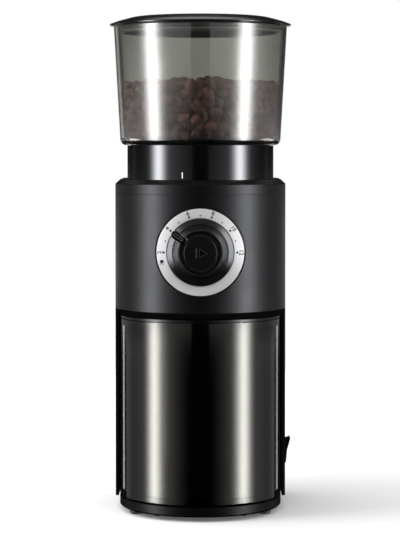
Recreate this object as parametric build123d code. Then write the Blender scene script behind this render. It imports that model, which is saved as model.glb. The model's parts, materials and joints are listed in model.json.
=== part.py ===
from build123d import *
import math
import os

# Burr coffee grinder. Millimetres, +Z up, -Y is the front. The origin is on the burr axis,
# at the surface that the feet stand on.

# ---------------------------------------------------------------- driving dimensions
# Housing
BODY_RADIUS = 61.0          # half width; the front of the body is a half circle of it
BACK_CORNER = 18.0          # outside radius of the two rear corners
SHELL_WALL = 2.5
SEAT_GAP = 0.3              # between pieces that seat in or over each other
HOLE_GAP = 0.2              # around a piece that drops into a cut-out
FIT_GAP = 0.05              # radial, in a round fit that doesn't move
FOOT_HEIGHT = 3.25
FOOT_RADIUS = 4.25
FOOT_EDGE = 0.6
FOOT_PLUG_RADIUS = 1.6
FOOT_INSET = 10.46          # centre of a front foot inside the body's outline
FOOT_ANGLE = 25.8           # of a front foot, ahead of the side
FOOT_SIDE_INSET = 17.0
FOOT_BACK_INSET = 18.0
BASE_HEIGHT = 6.5
BASE_INSET = 3.2
BASE_EDGE = 1.2
BASE_TOP_WALL = 2.4
BASE_SCREW_INSET = 12.6     # the front base screws, inside the body's outline
BASE_SCREW_ANGLE = 51.7
BASE_SCREW_SPREAD = 30.0
BASE_SCREW_BACK = 10.0      # the rear base screws, ahead of the rear face
PLATFORM_RISE = 0.4
PLATFORM_BACK = 16.0
BOTTOM_PLATE_THICKNESS = 1.8
RAIL_LIP = 4.0              # how far the column's front edges reach ahead of the burr axis
CRADLE_WALL = 2.0
CRADLE_GAP = 0.65
CRADLE_FRONT = 16.0         # where the cradle begins, behind the burr axis
POST_RIB = 2.0
HOUSING_FLOOR = 2.5
HOUSING_CHAMFER_RUN = 3.25
HOUSING_CHAMFER_RISE = 4.3
COVER_HEIGHT = 10.2
COVER_CHAMFER_RUN = 3.6
COVER_CHAMFER_RISE = 3.3
COVER_LIP = 3.0
HOOK_PLACES = (16.0, 48.0)  # snap hooks that hold the top cover, behind the burr axis
HOOK_WIDTH = 8.0
HOOK_THICKNESS = 1.6
HOOK_DROP = 5.0
HOOK_BARB = 1.0
WIRE_SLOT_LENGTH = 34.0
WIRE_SLOT_WIDTH = 7.0
WIRE_SLOT_BACK = 6.0        # centre of the wire slot ahead of the rear wall

# Grounds container
CONTAINER_HEIGHT = 128.05
CONTAINER_WALL = 2.6
CONTAINER_FLOOR = 4.0
CONTAINER_CORNER = 1.8      # outside; the inside has its own
CONTAINER_INNER_CORNER = 2.4
LID_PLATE = 2.6
LID_EDGE = 0.6
LID_SKIRT = 5.0
LID_SKIRT_WALL = 2.0
LID_HEADROOM = 0.3
LID_MOUTH_ROOM = 8.0        # how much the lid's mouth is longer and deeper than the chute
LID_MOUTH_BACK = 4.0

# Quantity dial, from the button outwards
DIAL_DROP = 49.5            # dial centre below the top of the body
BUTTON_RADIUS = 11.4
BUTTON_TRAVEL = 2.0
BUTTON_HEIGHT = 12.2
BUTTON_CAP = 8.0
BUTTON_CAP_WALL = 1.6
BUTTON_EDGE = 0.8
BUTTON_STEM = 2.6
BUTTON_END_PLAY = 0.15
BUTTON_SPRING_TURNS = 6
BUTTON_SPRING_RADIUS = 5.2
SYMBOL_DEPTH = 0.4
SYMBOL_HALF = 2.3
SYMBOL_BAR_PLACE = 3.0
SYMBOL_BAR_WIDTH = 1.2
SYMBOL_ARROW_BACK = 0.9
SYMBOL_ARROW_TIP = 3.4
RUNNING_GAP = 0.06          # radial clearance where one round piece turns or slides in another
GUIDE_WALL = 1.54
GUIDE_DROP = 4.4            # the guide's end below the knob's top
GUIDE_FLANGE = 1.6
KNOB_CLEAR = 0.1
KNOB_SLEEVE_WALL = 2.4
KNOB_TOP_WALL = 2.3
KNOB_GRIP_FLARE = 3.2
KNOB_FLANGE_WIDTH = 4.6
KNOB_FLANGE = 4.6
KNOB_HEIGHT = 12.6
KNOB_COUNTERBORE = 3.0
KNOB_RIM = 0.6
KNOB_EDGE = 1.8
KNOB_GAP = 0.4
KNOB_END_GAP = 1.0          # the knob's sleeve short of the selector's back
KNOB_RIBS = 72
KNOB_GROOVE = (0.9, 0.5)    # depth and width of a groove between ribs
POINTER_WIDTH = 5.4
POINTER_END = 0.5           # from the knob's top rim and from its outer edge
POINTER_BED = 2.0
POINTER_DROP = 3.6
POINTER_EDGE = 0.7
POINTER_ANGLE = 144.0       # from the right-hand side of the dial, anticlockwise seen from the front
DIAL_PLATE_GAP = 0.3
DIAL_PLATE_WIDTH = 7.3
DIAL_PLATE_THICKNESS = 0.8
BOSS_RIM = 0.45
BOSS_PROUD = 1.5            # boss face ahead of the front of the body
BOSS_WALL = 2.5
SELECTOR_WALL = 4.5
SELECTOR_DEPTH = 7.0
CONTROL_BOARD_WIDTH = 46.0
CONTROL_BOARD_HEIGHT = 52.0
CONTACT_SIZE = 6.0
CONTACT_HEIGHT = 2.4
CONTACT_TIP_RADIUS = 1.6
CONTACT_TIP_HEIGHT = 3.2

# Hopper, neck and lid
NECK_INSET = 8.7            # neck inside the body's outline
NECK_GAP = 0.5
NECK_HEIGHT = 24.1
NECK_WALL = 2.5
NECK_FLOOR_DROP = 5.0       # the neck's inner web, below the top of the body
BOWL_FOOT_LIP = 0.6         # the bowl's foot outside the neck
BOWL_FOOT_RUN = 4.0
BOWL_FOOT_RISE = 1.8
BOWL_SHOULDER = 5.2
BOWL_FLARE = 4.4
BOWL_LOW_RISE = 6.7
BOWL_HEIGHT = 84.7
BOWL_WALL = 2.2
SKIRT_DEPTH = 18.0
BOWL_FLOOR_DROP = 1.0       # the bowl's floor below its foot, at the skirt
BOWL_INNER_RISE = 0.6
THROAT_RADIUS = 17.0
THROAT_TOP_DROP = 12.0
THROAT_GAP = 5.3            # the throat's end above the burr carrier
LUG_COUNT = 3
LUG_WIDTH = 8.0
LUG_HEIGHT = 8.5
LUG_REACH = 1.4
LUG_DROP = 1.0              # top of a lug below the neck's top
LUG_ROOM = 0.6              # how much a lug's slot is wider
LUG_SINK = 1.0              # how far a lug starts inside the skirt
LID_OVERHANG = 3.0          # lid outside the bowl's rim
LID_RIM_RISE = 2.3
LID_HEIGHT = 7.7
LID_DOME_INSET = 12.9
LID_DOME_DROP = 0.8
LID_RIM_LEAN = 1.4
LID_RIM_CURVE = 1.6
LID_RIM_UNDERCUT = 0.4
LID_WALL = 2.0
LID_ROOF_DROP = 0.2
LID_PLUG_DEPTH = 5.0
SEAL_REACH = 1.5
SEAL_GAP = 0.9
SEAL_MARGIN = 0.6
BEAN_DROP = 37.0            # top of the beans below the bowl's rim
BEAN_GAP = 0.4
BEAN_CROWN = 1.0
BEAN_SHOULDER = 3.0
BEAN_LENGTH = 12.0
BEAN_THICKNESS = 8.0
BEAN_RELIEF = 3.2           # how far a bean stands out of the heap
BEAN_SPACING = 17.0         # from bean to bean round the heap
BEAN_ROW = 9.6              # from row to row up the wall
BEAN_RINGS = (0.0, 16.0, 31.0, 45.0)  # rings of beans on top of the heap

# Burrs and grind chamber, from the cone outwards
SHAFT_RADIUS = 4.0
CONE_BASE_RADIUS = 17.0
CONE_TOP_RADIUS = 11.0
CONE_HEIGHT = 19.0
CONE_SHOULDER = 4.0
CONE_TIP_EDGE = 1.0
CONE_FLUTES = 12
CONE_FLUTE = (5.0, 2.4)
CONE_FLUTE_SINK = 0.7
CONE_FLUTE_TURN = 24.0
BURR_GAP = 0.9
BURR_FEED_GAP = 4.2         # how much wider the gap is at the top of the burrs
RING_BURR_WALL = 4.6
RING_BURR_HEIGHT = 17.0
RING_BURR_RISE = 1.0        # ring burr's bottom above the carrier's bottom
RING_FLUTES = 18
RING_FLUTE = (3.0, 1.6)
RING_FLUTE_SINK = 0.4
RING_FLUTE_TURN = 20.0
RING_SEAT_GAP = 0.1
CARRIER_WALL = 4.5
CARRIER_LIP = 1.6
CARRIER_HEIGHT = 27.0
KEY_COUNT = 3
KEY_ANGLE = 30.0
KEY_WIDTH = 6.0
KEY_REACH = 3.0
KEY_HEIGHT = 4.0
KEY_SIDE_GAP = 0.2
KEY_END_GAP = 0.6
SLEEVE_WALL = 2.7
SLEEVE_GAP = 2.2            # the neck's sleeve above the carrier's keys
SLEEVE_SEAT_GAP = 0.4
CHAMBER_WALL = 2.6
CHAMBER_FLOOR = 2.6
CHAMBER_DROP = 12.0         # top of the chamber below the neck's web
CHAMBER_EAR_ANGLES = (150.0, 30.0, 210.0)
CHAMBER_EAR_REACH = 2.0
CHAMBER_EAR_HEIGHT = 3.0
LEDGE_WIDTH = 3.4           # ledge under the carrier, for its spring
SWEEPER_GAP = 0.9
SWEEPER_RISE = 0.6
SWEEPER_PLATE = 1.6
SWEEPER_VANES = 6
SWEEPER_VANE = 1.6
SWEEPER_VANE_DROP = 0.6
SWEEPER_HUB_WALL = 3.0
SWEEPER_HEIGHT = 6.0
WINDOW_WIDTH = 18.0
WINDOW_HEIGHT = 7.0
BUSH_WALL = 2.5
BUSH_SEAT = 0.1
SPRING_WIRE = 0.35          # radius of the spring wire
SPRING_ROOM = 1.4
CONE_CLEAR = 0.4            # cone burr above the sweeper
CARRIER_CLEAR = 2.0         # carrier above the sweeper
BOLT_WASHER = 1.2
BOLT_WASHER_WALL = 3.0
BOLT_HEAD_INSET = 1.0
BOLT_HEAD_HEIGHT = 4.0

# Gear train: pinion to idler wheel, idler pinion to burr gear
MODULE_FAST = 1.0
MODULE_SLOW = 1.25
PINION_TEETH = 12
IDLER_WHEEL_TEETH = 45
IDLER_PINION_TEETH = 14
BURR_GEAR_TEETH = 42
PRESSURE_ANGLE = 25.0
BACKLASH = 0.12
FAST_FACE = 4.6
SLOW_FACE = 7.0
GEAR_LEVEL_GAP = 0.6
GEAR_FLOOR_GAP = 0.8
GEAR_TOP_GAP = 1.0
GEAR_RELIEF = 2.0
GEAR_RELIEF_RIM = 5.0
AXLE_RADIUS = 2.0
AXLE_SEAT_GAP = 0.02
AXLE_SEAT = 1.0             # solid plate left under and over the axle's ends
GEARBOX_WALL = 2.4
GEARBOX_PLATE = 2.6
GEAR_TIP_ROOM = 1.2
SHAFT_BEARING_WALL = 3.0
SHAFT_BEARING_FLOOR = 0.4
MOUNT_HEIGHT = 3.0
MOUNT_RADIUS = 5.0
MOUNT_WAIST = 0.8
MOUNT_RIM = 1.0
EAR_ARM_INSET = 1.0
EAR_REACH = 4.0             # centre of a soft mount outside the gearbox wall
EAR_RIGHT_REACH = 9.0
EAR_MOTOR_REACH = 9.7
EAR_LEFT_ANGLE = 160.0
EAR_RIGHT_ANGLE = 3.0
EAR_REAR_ANGLE = 75.0       # from the idler
EAR_MOTOR_ANGLE = 190.0     # from the motor

# Motor
MOTOR_GAP = 1.0             # motor ahead of the rear wall
MOTOR_CLEAR = 2.08          # motor behind the grind chamber
MOTOR_RADIUS = 19.0
MOTOR_HEIGHT = 58.0
MOTOR_HEADROOM = 8.4        # from the motor to the neck's web
MOTOR_CAN_WALL = 1.2
MOTOR_CAN_FLOOR = 2.0
MOTOR_SHAFT_RADIUS = 1.6
MOTOR_SHAFT_DROP = 1.2
MOTOR_END_CAP = 6.0
MOTOR_CAP_EDGE = 1.5
MOTOR_CAP_WALL = 4.0
MOTOR_CAP_ROOF = 2.4
MOTOR_CAP_SKIN = 0.8
MOTOR_SCREW_CIRCLE = 14.0
MOTOR_SCREW_BITE = 1.6
MOTOR_COLLAR_RADIUS = 5.0
MAGNET_THICKNESS = 3.4
MAGNET_SPLIT = 16.0
ARMATURE_RADIUS = 13.6
ARMATURE_HEIGHT = 34.0
ARMATURE_RISE = 8.0
ARMATURE_SLOTS = 5
ARMATURE_SLOT = (8.0, 2.2)
ARMATURE_SLOT_SINK = 2.0
COMMUTATOR_RADIUS = 5.0
COMMUTATOR_GAP = 1.0

# Chute
CHUTE_REACH = 6.08          # centre of the chute ahead of the chamber's wall
CHUTE_LENGTH = 26.0
CHUTE_DEPTH = 13.0
CHUTE_WALL = 1.3
CHUTE_ROOF = 3.0
CHUTE_LOW_GAP = 0.2
CHUTE_CLEAR = 2.0
GASKET_THICKNESS = 1.6

# Power board, behind the cradle
BOARD_THICKNESS = 1.6
POWER_BOARD_WIDTH = 60.0
POWER_BOARD_HEIGHT = 56.0
POWER_BOARD_DROP = 23.1     # top of the board below the housing
BOARD_HOLE_INSET = 5.0
COMPONENT_HEIGHT = 6.5
COMPONENT_GAP = 1.0         # to the cradle
RELAY_SIZE = (18.0, 14.0)
RELAY_RISE = 12.0
RECTIFIER_SIZE = (12.0, 5.0)
RECTIFIER_PLACE = (-14.0, -14.0)
CAPACITOR_RADIUS = 3.4
CAPACITOR_PLACES = ((4.0, -12.0), (13.0, -12.0))
SUPPRESSOR_SIZE = (9.0, 13.0)
SUPPRESSOR_PLACE = (-19.0, 8.0)
STANDOFF_RADIUS = 3.0
STANDOFF_HEIGHT = 4.0

# Rocker switch and cord gland
SWITCH_CENTRE = 35.75
SWITCH_LENGTH = 19.0
SWITCH_WIDTH = 13.0
SWITCH_DEPTH = 12.5
SWITCH_SIDE_WALL = 1.3
SWITCH_END_WALL = 0.8
SWITCH_FLOOR = 1.6
SWITCH_MOUTH_GAP = 1.0
SWITCH_MOUTH_END = 0.4
BEZEL_RIM = 1.2
BEZEL_THICKNESS = 1.2
BEZEL_CORNER = 1.2
ROCKER_TILT = 10.2
ROCKER_CREST = 4.4          # height of the rocker's two ends over the wall, before it tilts
ROCKER_DIP = 0.8
ROCKER_EDGE = 0.5
ROCKER_CAP = 0.6
ROCKER_SIDE_GAP = 0.3
ROCKER_END_GAP = 1.8
ROCKER_OVERHANG = 0.1
ROCKER_KEEL = (3.0, 3.6)    # half width and depth
ROCKER_SKIRT = 0.8
ROCKER_PIVOT_DEPTH = 1.0
ROCKER_PIN_RADIUS = 1.2
ROCKER_PIN_END_GAP = 0.2
ROCKER_PIN_SOCKET = 0.5
BLADE_LENGTH = 5.5
BLADE_SECTION = (4.6, 0.8)
BLADE_PITCH = 6.0
GLAND_HEIGHT = 24.0
GLAND_RADIUS = 6.0
GLAND_BORE = 3.2
GLAND_COLLAR_RIM = 2.0
GLAND_COLLAR = 2.0
GLAND_INNER_RIM = 1.2
GLAND_INNER = 2.4
GLAND_TAIL = 4.0

# Interlock switches
INTERLOCK_SIZE = (20.0, 6.4, 10.0)
INTERLOCK_PLUNGER = 1.6
INTERLOCK_PLUNGER_PLACE = 3.0
INTERLOCK_LOW_SIDE = 22.0
INTERLOCK_LOW_BACK = 10.0   # ahead of the rear face
INTERLOCK_LOW_DROP = 12.0   # below the housing
INTERLOCK_HIGH_SIDE = 21.0  # inside the body's side
INTERLOCK_HIGH_BACK = 34.0
INTERLOCK_HIGH_DROP = 8.0   # below the neck's web

# Fasteners
SCREW_RADIUS = 1.5
SCREW_HEAD_RADIUS = 2.8
SCREW_HEAD_HEIGHT = 1.8
SCREW_HEAD_GAP = 0.2
SCREW_SLOT = 0.7
SCREW_LENGTH = 9.0
SCREW_END_GAP = 0.4
PILOT_GAP = 0.1
PILOT_BEYOND = 0.8          # how far a pilot hole goes past the screw's end
BOSS_OUTSIDE = 3.6
POST_CLEAR = 1.0            # screw head to the base's wall
POST_SHIFT = 0.6            # side posts towards the wall

CUT = 1.0                   # how far a cutting shape reaches beyond what it cuts
JOIN = 0.1                  # how far one shape is sunk into the next before they are joined

# ---------------------------------------------------------------- levels and places worked out
base_bottom = FOOT_HEIGHT
column_bottom = base_bottom + BASE_HEIGHT
platform_top = column_bottom + PLATFORM_RISE
container_top = platform_top + CONTAINER_HEIGHT
container_lid_top = container_top + LID_PLATE
housing_bottom = container_lid_top + LID_HEADROOM
housing_floor_top = housing_bottom + HOUSING_FLOOR

gearbox_bottom = housing_floor_top + MOUNT_HEIGHT
slow_gear_bottom = gearbox_bottom + GEARBOX_PLATE + GEAR_FLOOR_GAP
fast_gear_bottom = slow_gear_bottom + SLOW_FACE + GEAR_LEVEL_GAP
gearbox_top = fast_gear_bottom + FAST_FACE + GEAR_TOP_GAP
chamber_bottom = gearbox_top + GEARBOX_PLATE
chamber_floor_top = chamber_bottom + CHAMBER_FLOOR
sweeper_bottom = chamber_floor_top + SWEEPER_RISE
sweeper_top = sweeper_bottom + SWEEPER_HEIGHT
cone_bottom = sweeper_top + CONE_CLEAR
cone_shoulder = cone_bottom + CONE_SHOULDER
cone_top = cone_bottom + CONE_HEIGHT
carrier_bottom = sweeper_top + CARRIER_CLEAR
carrier_ledge = carrier_bottom - SPRING_ROOM
carrier_top = carrier_bottom + CARRIER_HEIGHT
sleeve_bottom = carrier_bottom + KEY_HEIGHT + SLEEVE_GAP
motor_bottom = gearbox_top + GEARBOX_PLATE
motor_top = motor_bottom + MOTOR_HEIGHT

neck_floor = motor_top + MOTOR_HEADROOM
chamber_top = neck_floor - CHAMBER_DROP
body_top = neck_floor + NECK_FLOOR_DROP
cover_bottom = body_top - COVER_HEIGHT
neck_top = body_top + NECK_HEIGHT
bowl_bottom = neck_top + JOIN
bowl_low = bowl_bottom + BOWL_LOW_RISE
bowl_rim = bowl_bottom + BOWL_HEIGHT
lid_seat = bowl_rim + JOIN
throat_top = neck_top - THROAT_TOP_DROP
throat_bottom = carrier_top + THROAT_GAP
dial_height = body_top - DIAL_DROP

ring_burr_radius = CONE_BASE_RADIUS + BURR_GAP + RING_BURR_WALL
carrier_radius = ring_burr_radius + CARRIER_WALL
sweeper_radius = carrier_radius - LEDGE_WIDTH
sleeve_outer = carrier_radius + RUNNING_GAP + SLEEVE_WALL
chamber_low_bore = carrier_radius + SLEEVE_SEAT_GAP
chamber_high_bore = sleeve_outer + RUNNING_GAP
chamber_outer = chamber_high_bore + CHAMBER_WALL
chute_forward = chamber_outer + CHUTE_REACH

container_radius = BODY_RADIUS - HOUSING_CHAMFER_RUN
cradle_bore = container_radius + CRADLE_GAP
cradle_outer = cradle_bore + CRADLE_WALL
board_stack = COMPONENT_GAP + COMPONENT_HEIGHT + BOARD_THICKNESS + STANDOFF_HEIGHT
motor_stack = MOTOR_CLEAR + 2 * MOTOR_RADIUS + MOTOR_GAP
body_back = max(cradle_outer + board_stack, chamber_outer + motor_stack) + SHELL_WALL
motor_distance = body_back - SHELL_WALL - MOTOR_GAP - MOTOR_RADIUS
power_board_bottom = housing_bottom - POWER_BOARD_DROP - POWER_BOARD_HEIGHT

neck_radius = BODY_RADIUS - NECK_INSET
bowl_low_radius = neck_radius + BOWL_SHOULDER
bowl_rim_radius = bowl_low_radius + BOWL_FLARE
lid_rim_radius = bowl_rim_radius + LID_OVERHANG
lid_plug_radius = bowl_rim_radius - BOWL_WALL - SEAL_GAP - SEAL_REACH
lid_dome_radius = lid_rim_radius - LID_DOME_INSET

guide_outer = BUTTON_RADIUS + RUNNING_GAP + GUIDE_WALL
knob_bore = guide_outer + KNOB_CLEAR
knob_sleeve_radius = knob_bore + KNOB_SLEEVE_WALL
knob_top_radius = knob_bore + KNOB_TOP_WALL
knob_grip_radius = knob_top_radius + KNOB_GRIP_FLARE
knob_radius = knob_grip_radius + KNOB_FLANGE_WIDTH
pointer_inner = knob_top_radius + POINTER_END
pointer_outer = knob_radius - POINTER_END
dial_plate_bore = knob_radius + DIAL_PLATE_GAP
dial_plate_radius = dial_plate_bore + DIAL_PLATE_WIDTH
boss_radius = dial_plate_radius + BOSS_RIM
boss_front = BODY_RADIUS + BOSS_PROUD
selector_radius = knob_sleeve_radius + SELECTOR_WALL
selector_top = -BOSS_WALL - DIAL_PLATE_THICKNESS
selector_low = selector_top - SELECTOR_DEPTH
board_face = selector_low - PILOT_GAP

fast_centres = MODULE_FAST * (PINION_TEETH + IDLER_WHEEL_TEETH) / 2
slow_centres = MODULE_SLOW * (IDLER_PINION_TEETH + BURR_GEAR_TEETH) / 2
idler_y = (slow_centres ** 2 - fast_centres ** 2 + motor_distance ** 2) / (2 * motor_distance)
idler_x = math.sqrt(slow_centres ** 2 - idler_y ** 2)
burr_tip = MODULE_SLOW * (BURR_GEAR_TEETH / 2 + 1)
wheel_tip = MODULE_FAST * (IDLER_WHEEL_TEETH / 2 + 1)
pinion_tip = MODULE_FAST * (PINION_TEETH / 2 + 1)
gearbox_margin = GEAR_TIP_ROOM + GEARBOX_WALL
motor_screw_spots = [(0.0, MOTOR_SCREW_CIRCLE), (-MOTOR_SCREW_CIRCLE, 0.0)]

parts = {}


# ---------------------------------------------------------------- shapes used again and again
def disc(radius, low, high, x=0.0, y=0.0):
    """Upright cylinder between two levels."""
    return Pos(x, y, low) * Cylinder(radius, high - low, align=(Align.CENTER, Align.CENTER, Align.MIN))


def ring(outer, inner, low, high, x=0.0, y=0.0):
    """Upright tube between two levels."""
    return disc(outer, low, high, x, y) - disc(inner, low - CUT, high + CUT, x, y)


def block(x_size, y_size, low, high, x=0.0, y=0.0):
    """Upright box centred on x, y between two levels."""
    box = Box(x_size, y_size, high - low, align=(Align.CENTER, Align.CENTER, Align.MIN))
    return Pos(x, y, low) * box


def turned(*points):
    """Solid of revolution about the burr axis from (radius, height) points."""
    outline = make_face(Polyline(*points, close=True))
    return revolve(Plane.XZ * outline, Axis.Z)


def polar(radius, angle, centre=(0.0, 0.0)):
    """Point at a radius and an angle in degrees from a centre."""
    turn = math.radians(angle)
    return centre[0] + radius * math.cos(turn), centre[1] + radius * math.sin(turn)


def body_plan(inset=0.0):
    """Plan of the body: half circle in front, straight sides, rounded rear corners."""
    half = BODY_RADIUS - inset
    back = body_back - inset
    plan = Circle(half) + Pos(0, back / 2) * Rectangle(2 * half, back)
    rear = plan.vertices().sort_by(Axis.Y)[-2:]
    return fillet(rear, BACK_CORNER - inset)


def plan_prism(inset, low, high):
    """The body's plan, drawn in by an inset, as an upright prism."""
    return extrude(Pos(0, 0, low) * body_plan(inset), high - low)


def behind(y, low, high):
    """Everything behind a plane of constant y, between two levels."""
    reach = 4 * BODY_RADIUS
    return block(reach, reach, low, high, y=y + reach / 2)


def in_front(y, low, high):
    """Everything ahead of a plane of constant y, between two levels."""
    reach = 4 * BODY_RADIUS
    return block(reach, reach, low, high, y=y - reach / 2)


def all_of(shapes):
    """Join a list of solids into one shape."""
    joined = shapes[0]
    for shape in shapes[1:]:
        joined = joined + shape
    return joined


def around(shape, count, start=0.0):
    """Copies of a shape at equal angles about the burr axis."""
    return [Rot(0, 0, start + 360.0 * step / count) * shape for step in range(count)]


def group(shapes):
    """Keep separate solids together in one node."""
    solids = []
    for shape in shapes:
        solids.extend(shape.solids())
    return Compound(children=solids)


def screw(length=SCREW_LENGTH):
    """Pan-head screw with a cross recess, head up, underside of the head at z = 0."""
    head = disc(SCREW_HEAD_RADIUS, 0, SCREW_HEAD_HEIGHT)
    head = chamfer(head.edges().group_by(Axis.Z)[-1], SCREW_HEAD_HEIGHT / 3)
    slot_floor = SCREW_HEAD_HEIGHT * 0.4
    bar = block(2 * SCREW_RADIUS, SCREW_SLOT, slot_floor, SCREW_HEAD_HEIGHT + CUT)
    head = head - bar - Rot(0, 0, 90) * bar
    return head + disc(SCREW_RADIUS, -length, JOIN)


def pilot(length=SCREW_LENGTH):
    """Room for a screw's shank below z = 0."""
    return disc(SCREW_RADIUS + PILOT_GAP, -length - PILOT_BEYOND, JOIN)


def screw_hole(low, high, x, y):
    """Clear hole for a screw's shank through a plate between two levels."""
    return disc(SCREW_RADIUS + PILOT_GAP, low - CUT, high + CUT, x, y)


def gear(teeth, module, low, high):
    """Spur gear about the Z axis with involute flanks, one tooth centred on +X."""
    pitch = module * teeth / 2
    base = pitch * math.cos(math.radians(PRESSURE_ANGLE))
    tip = pitch + module
    root = pitch - 1.25 * module
    pressure = math.radians(PRESSURE_ANGLE)
    half_at_pitch = (math.pi * module / 2 - BACKLASH) / 2 / pitch
    half_at_base = half_at_pitch + math.tan(pressure) - pressure
    flank = []
    first = max(base, root)
    for step in range(4):
        radius = first + (tip - first) * step / 3
        roll = math.acos(min(1.0, base / radius))
        flank.append((radius, half_at_base - (math.tan(roll) - roll)))
    if root < base:
        flank.insert(0, (root, half_at_base))
    points = []
    for tooth in range(teeth):
        centre = 2 * math.pi * tooth / teeth
        for radius, half in flank:
            angle = centre - half
            points.append((radius * math.cos(angle), radius * math.sin(angle)))
        for radius, half in reversed(flank):
            angle = centre + half
            points.append((radius * math.cos(angle), radius * math.sin(angle)))
    outline = make_face(Polyline(*points, close=True))
    return extrude(Pos(0, 0, low) * outline, high - low)


def coil_spring(radius, low, high, turns):
    """Open coil of round wire between two levels."""
    rise = high - low - 2 * SPRING_WIRE
    path = Pos(0, 0, low + SPRING_WIRE) * Helix(rise / turns, rise, radius)
    section = Plane(origin=path @ 0, z_dir=path % 0) * Circle(SPRING_WIRE)
    return sweep(section, path=path)


def mesh_turn(teeth_a, turn_a, teeth_b, direction):
    """Turn, in degrees, that puts gear B in mesh with gear A along a direction from A to B."""
    phase = ((direction - turn_a) * teeth_a / 360.0) % 1.0
    return direction + 180.0 - (0.5 - phase) * 360.0 / teeth_b


# The dial's own plane: local X to the right, local Y up, local Z out of the front.
dial_plane = Plane(origin=(0, -boss_front, dial_height), x_dir=(1, 0, 0), z_dir=(0, -1, 0))


def on_dial(shape):
    """Place a shape drawn about Z onto the dial, z = 0 at the boss face."""
    return dial_plane * shape


# ---------------------------------------------------------------- screw and foot places
front_screw = polar(BODY_RADIUS - BASE_SCREW_INSET, -BASE_SCREW_ANGLE)
front_foot = polar(BODY_RADIUS - FOOT_INSET, -FOOT_ANGLE)
rear_foot = BODY_RADIUS - FOOT_SIDE_INSET, body_back - FOOT_BACK_INSET
post_inset = BASE_INSET + SHELL_WALL + SCREW_HEAD_RADIUS + POST_CLEAR
corner_reach = (BACK_CORNER - post_inset) / math.sqrt(2)
rear_post = BODY_RADIUS - BACK_CORNER + corner_reach, body_back - BACK_CORNER + corner_reach
side_post_reach = cradle_outer + SEAT_GAP + BOSS_OUTSIDE
side_post_x = BODY_RADIUS - post_inset + POST_SHIFT
side_post = side_post_x, math.sqrt(side_post_reach ** 2 - side_post_x ** 2)
switch_back = (side_post[1] + rear_post[1]) / 2
base_screw_spots = []
foot_spots = []
column_spots = []
for side in (-1, 1):
    base_screw_spots.append((side * front_screw[0], front_screw[1]))
    base_screw_spots.append((side * BASE_SCREW_SPREAD, body_back - BASE_SCREW_BACK))
    foot_spots.append((side * front_foot[0], front_foot[1]))
    foot_spots.append((side * rear_foot[0], rear_foot[1]))
    column_spots.append((side * rear_post[0], rear_post[1]))
    column_spots.append((side * side_post[0], side_post[1]))
chamber_ears = [polar(chamber_outer + CHAMBER_EAR_REACH, angle) for angle in CHAMBER_EAR_ANGLES]
idler_centre = idler_x, idler_y
motor_centre = 0.0, motor_distance
mount_spots = [
    polar(burr_tip + gearbox_margin + EAR_REACH, EAR_LEFT_ANGLE),
    polar(burr_tip + gearbox_margin + EAR_RIGHT_REACH, EAR_RIGHT_ANGLE),
    polar(wheel_tip + gearbox_margin + EAR_REACH, EAR_REAR_ANGLE, idler_centre),
    polar(pinion_tip + gearbox_margin + EAR_MOTOR_REACH, EAR_MOTOR_ANGLE, motor_centre),
]


# ---------------------------------------------------------------- base
def make_base():
    """Base tray, its bottom plate, feet and screws."""
    tray = plan_prism(BASE_INSET, base_bottom, column_bottom)
    tray = chamfer(tray.edges().group_by(Axis.Z)[0], BASE_EDGE)
    platform = disc(container_radius, column_bottom - JOIN, platform_top)
    platform = platform & in_front(PLATFORM_BACK, column_bottom - CUT, platform_top + CUT)
    tray = tray + platform
    inner = BASE_INSET + SHELL_WALL
    tray = tray - plan_prism(inner, base_bottom - CUT, column_bottom - BASE_TOP_WALL)
    plate_top = base_bottom + BOTTOM_PLATE_THICKNESS
    boss_top = column_bottom - BASE_TOP_WALL + JOIN
    for x, y in base_screw_spots:
        tray = tray + disc(BOSS_OUTSIDE, plate_top, boss_top, x, y)
        tray = tray - disc(SCREW_RADIUS + PILOT_GAP, plate_top - CUT, boss_top + PILOT_BEYOND, x, y)
    for x, y in column_spots:
        tray = tray - screw_hole(base_bottom, column_bottom, x, y)
    parts["base_tray"] = tray

    plate = plan_prism(inner + SEAT_GAP, base_bottom, plate_top)
    for x, y in base_screw_spots:
        plate = plate - screw_hole(base_bottom, plate_top, x, y)
    feet = []
    for x, y in foot_spots:
        plate = plate - disc(FOOT_PLUG_RADIUS + PILOT_GAP, base_bottom - CUT, plate_top + CUT, x, y)
        pad = disc(FOOT_RADIUS, 0, FOOT_HEIGHT)
        pad = fillet(pad.edges().group_by(Axis.Z)[0], FOOT_EDGE)
        pad = pad + disc(FOOT_PLUG_RADIUS, FOOT_EDGE, plate_top + FOOT_EDGE)
        feet.append(Pos(x, y, 0) * pad)
    parts["bottom_plate"] = plate
    parts["rubber_feet"] = group(feet)
    upward = Rot(180, 0, 0) * screw(boss_top - base_bottom)
    parts["base_screws"] = group([Pos(x, y, base_bottom) * upward for x, y in base_screw_spots])


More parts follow.
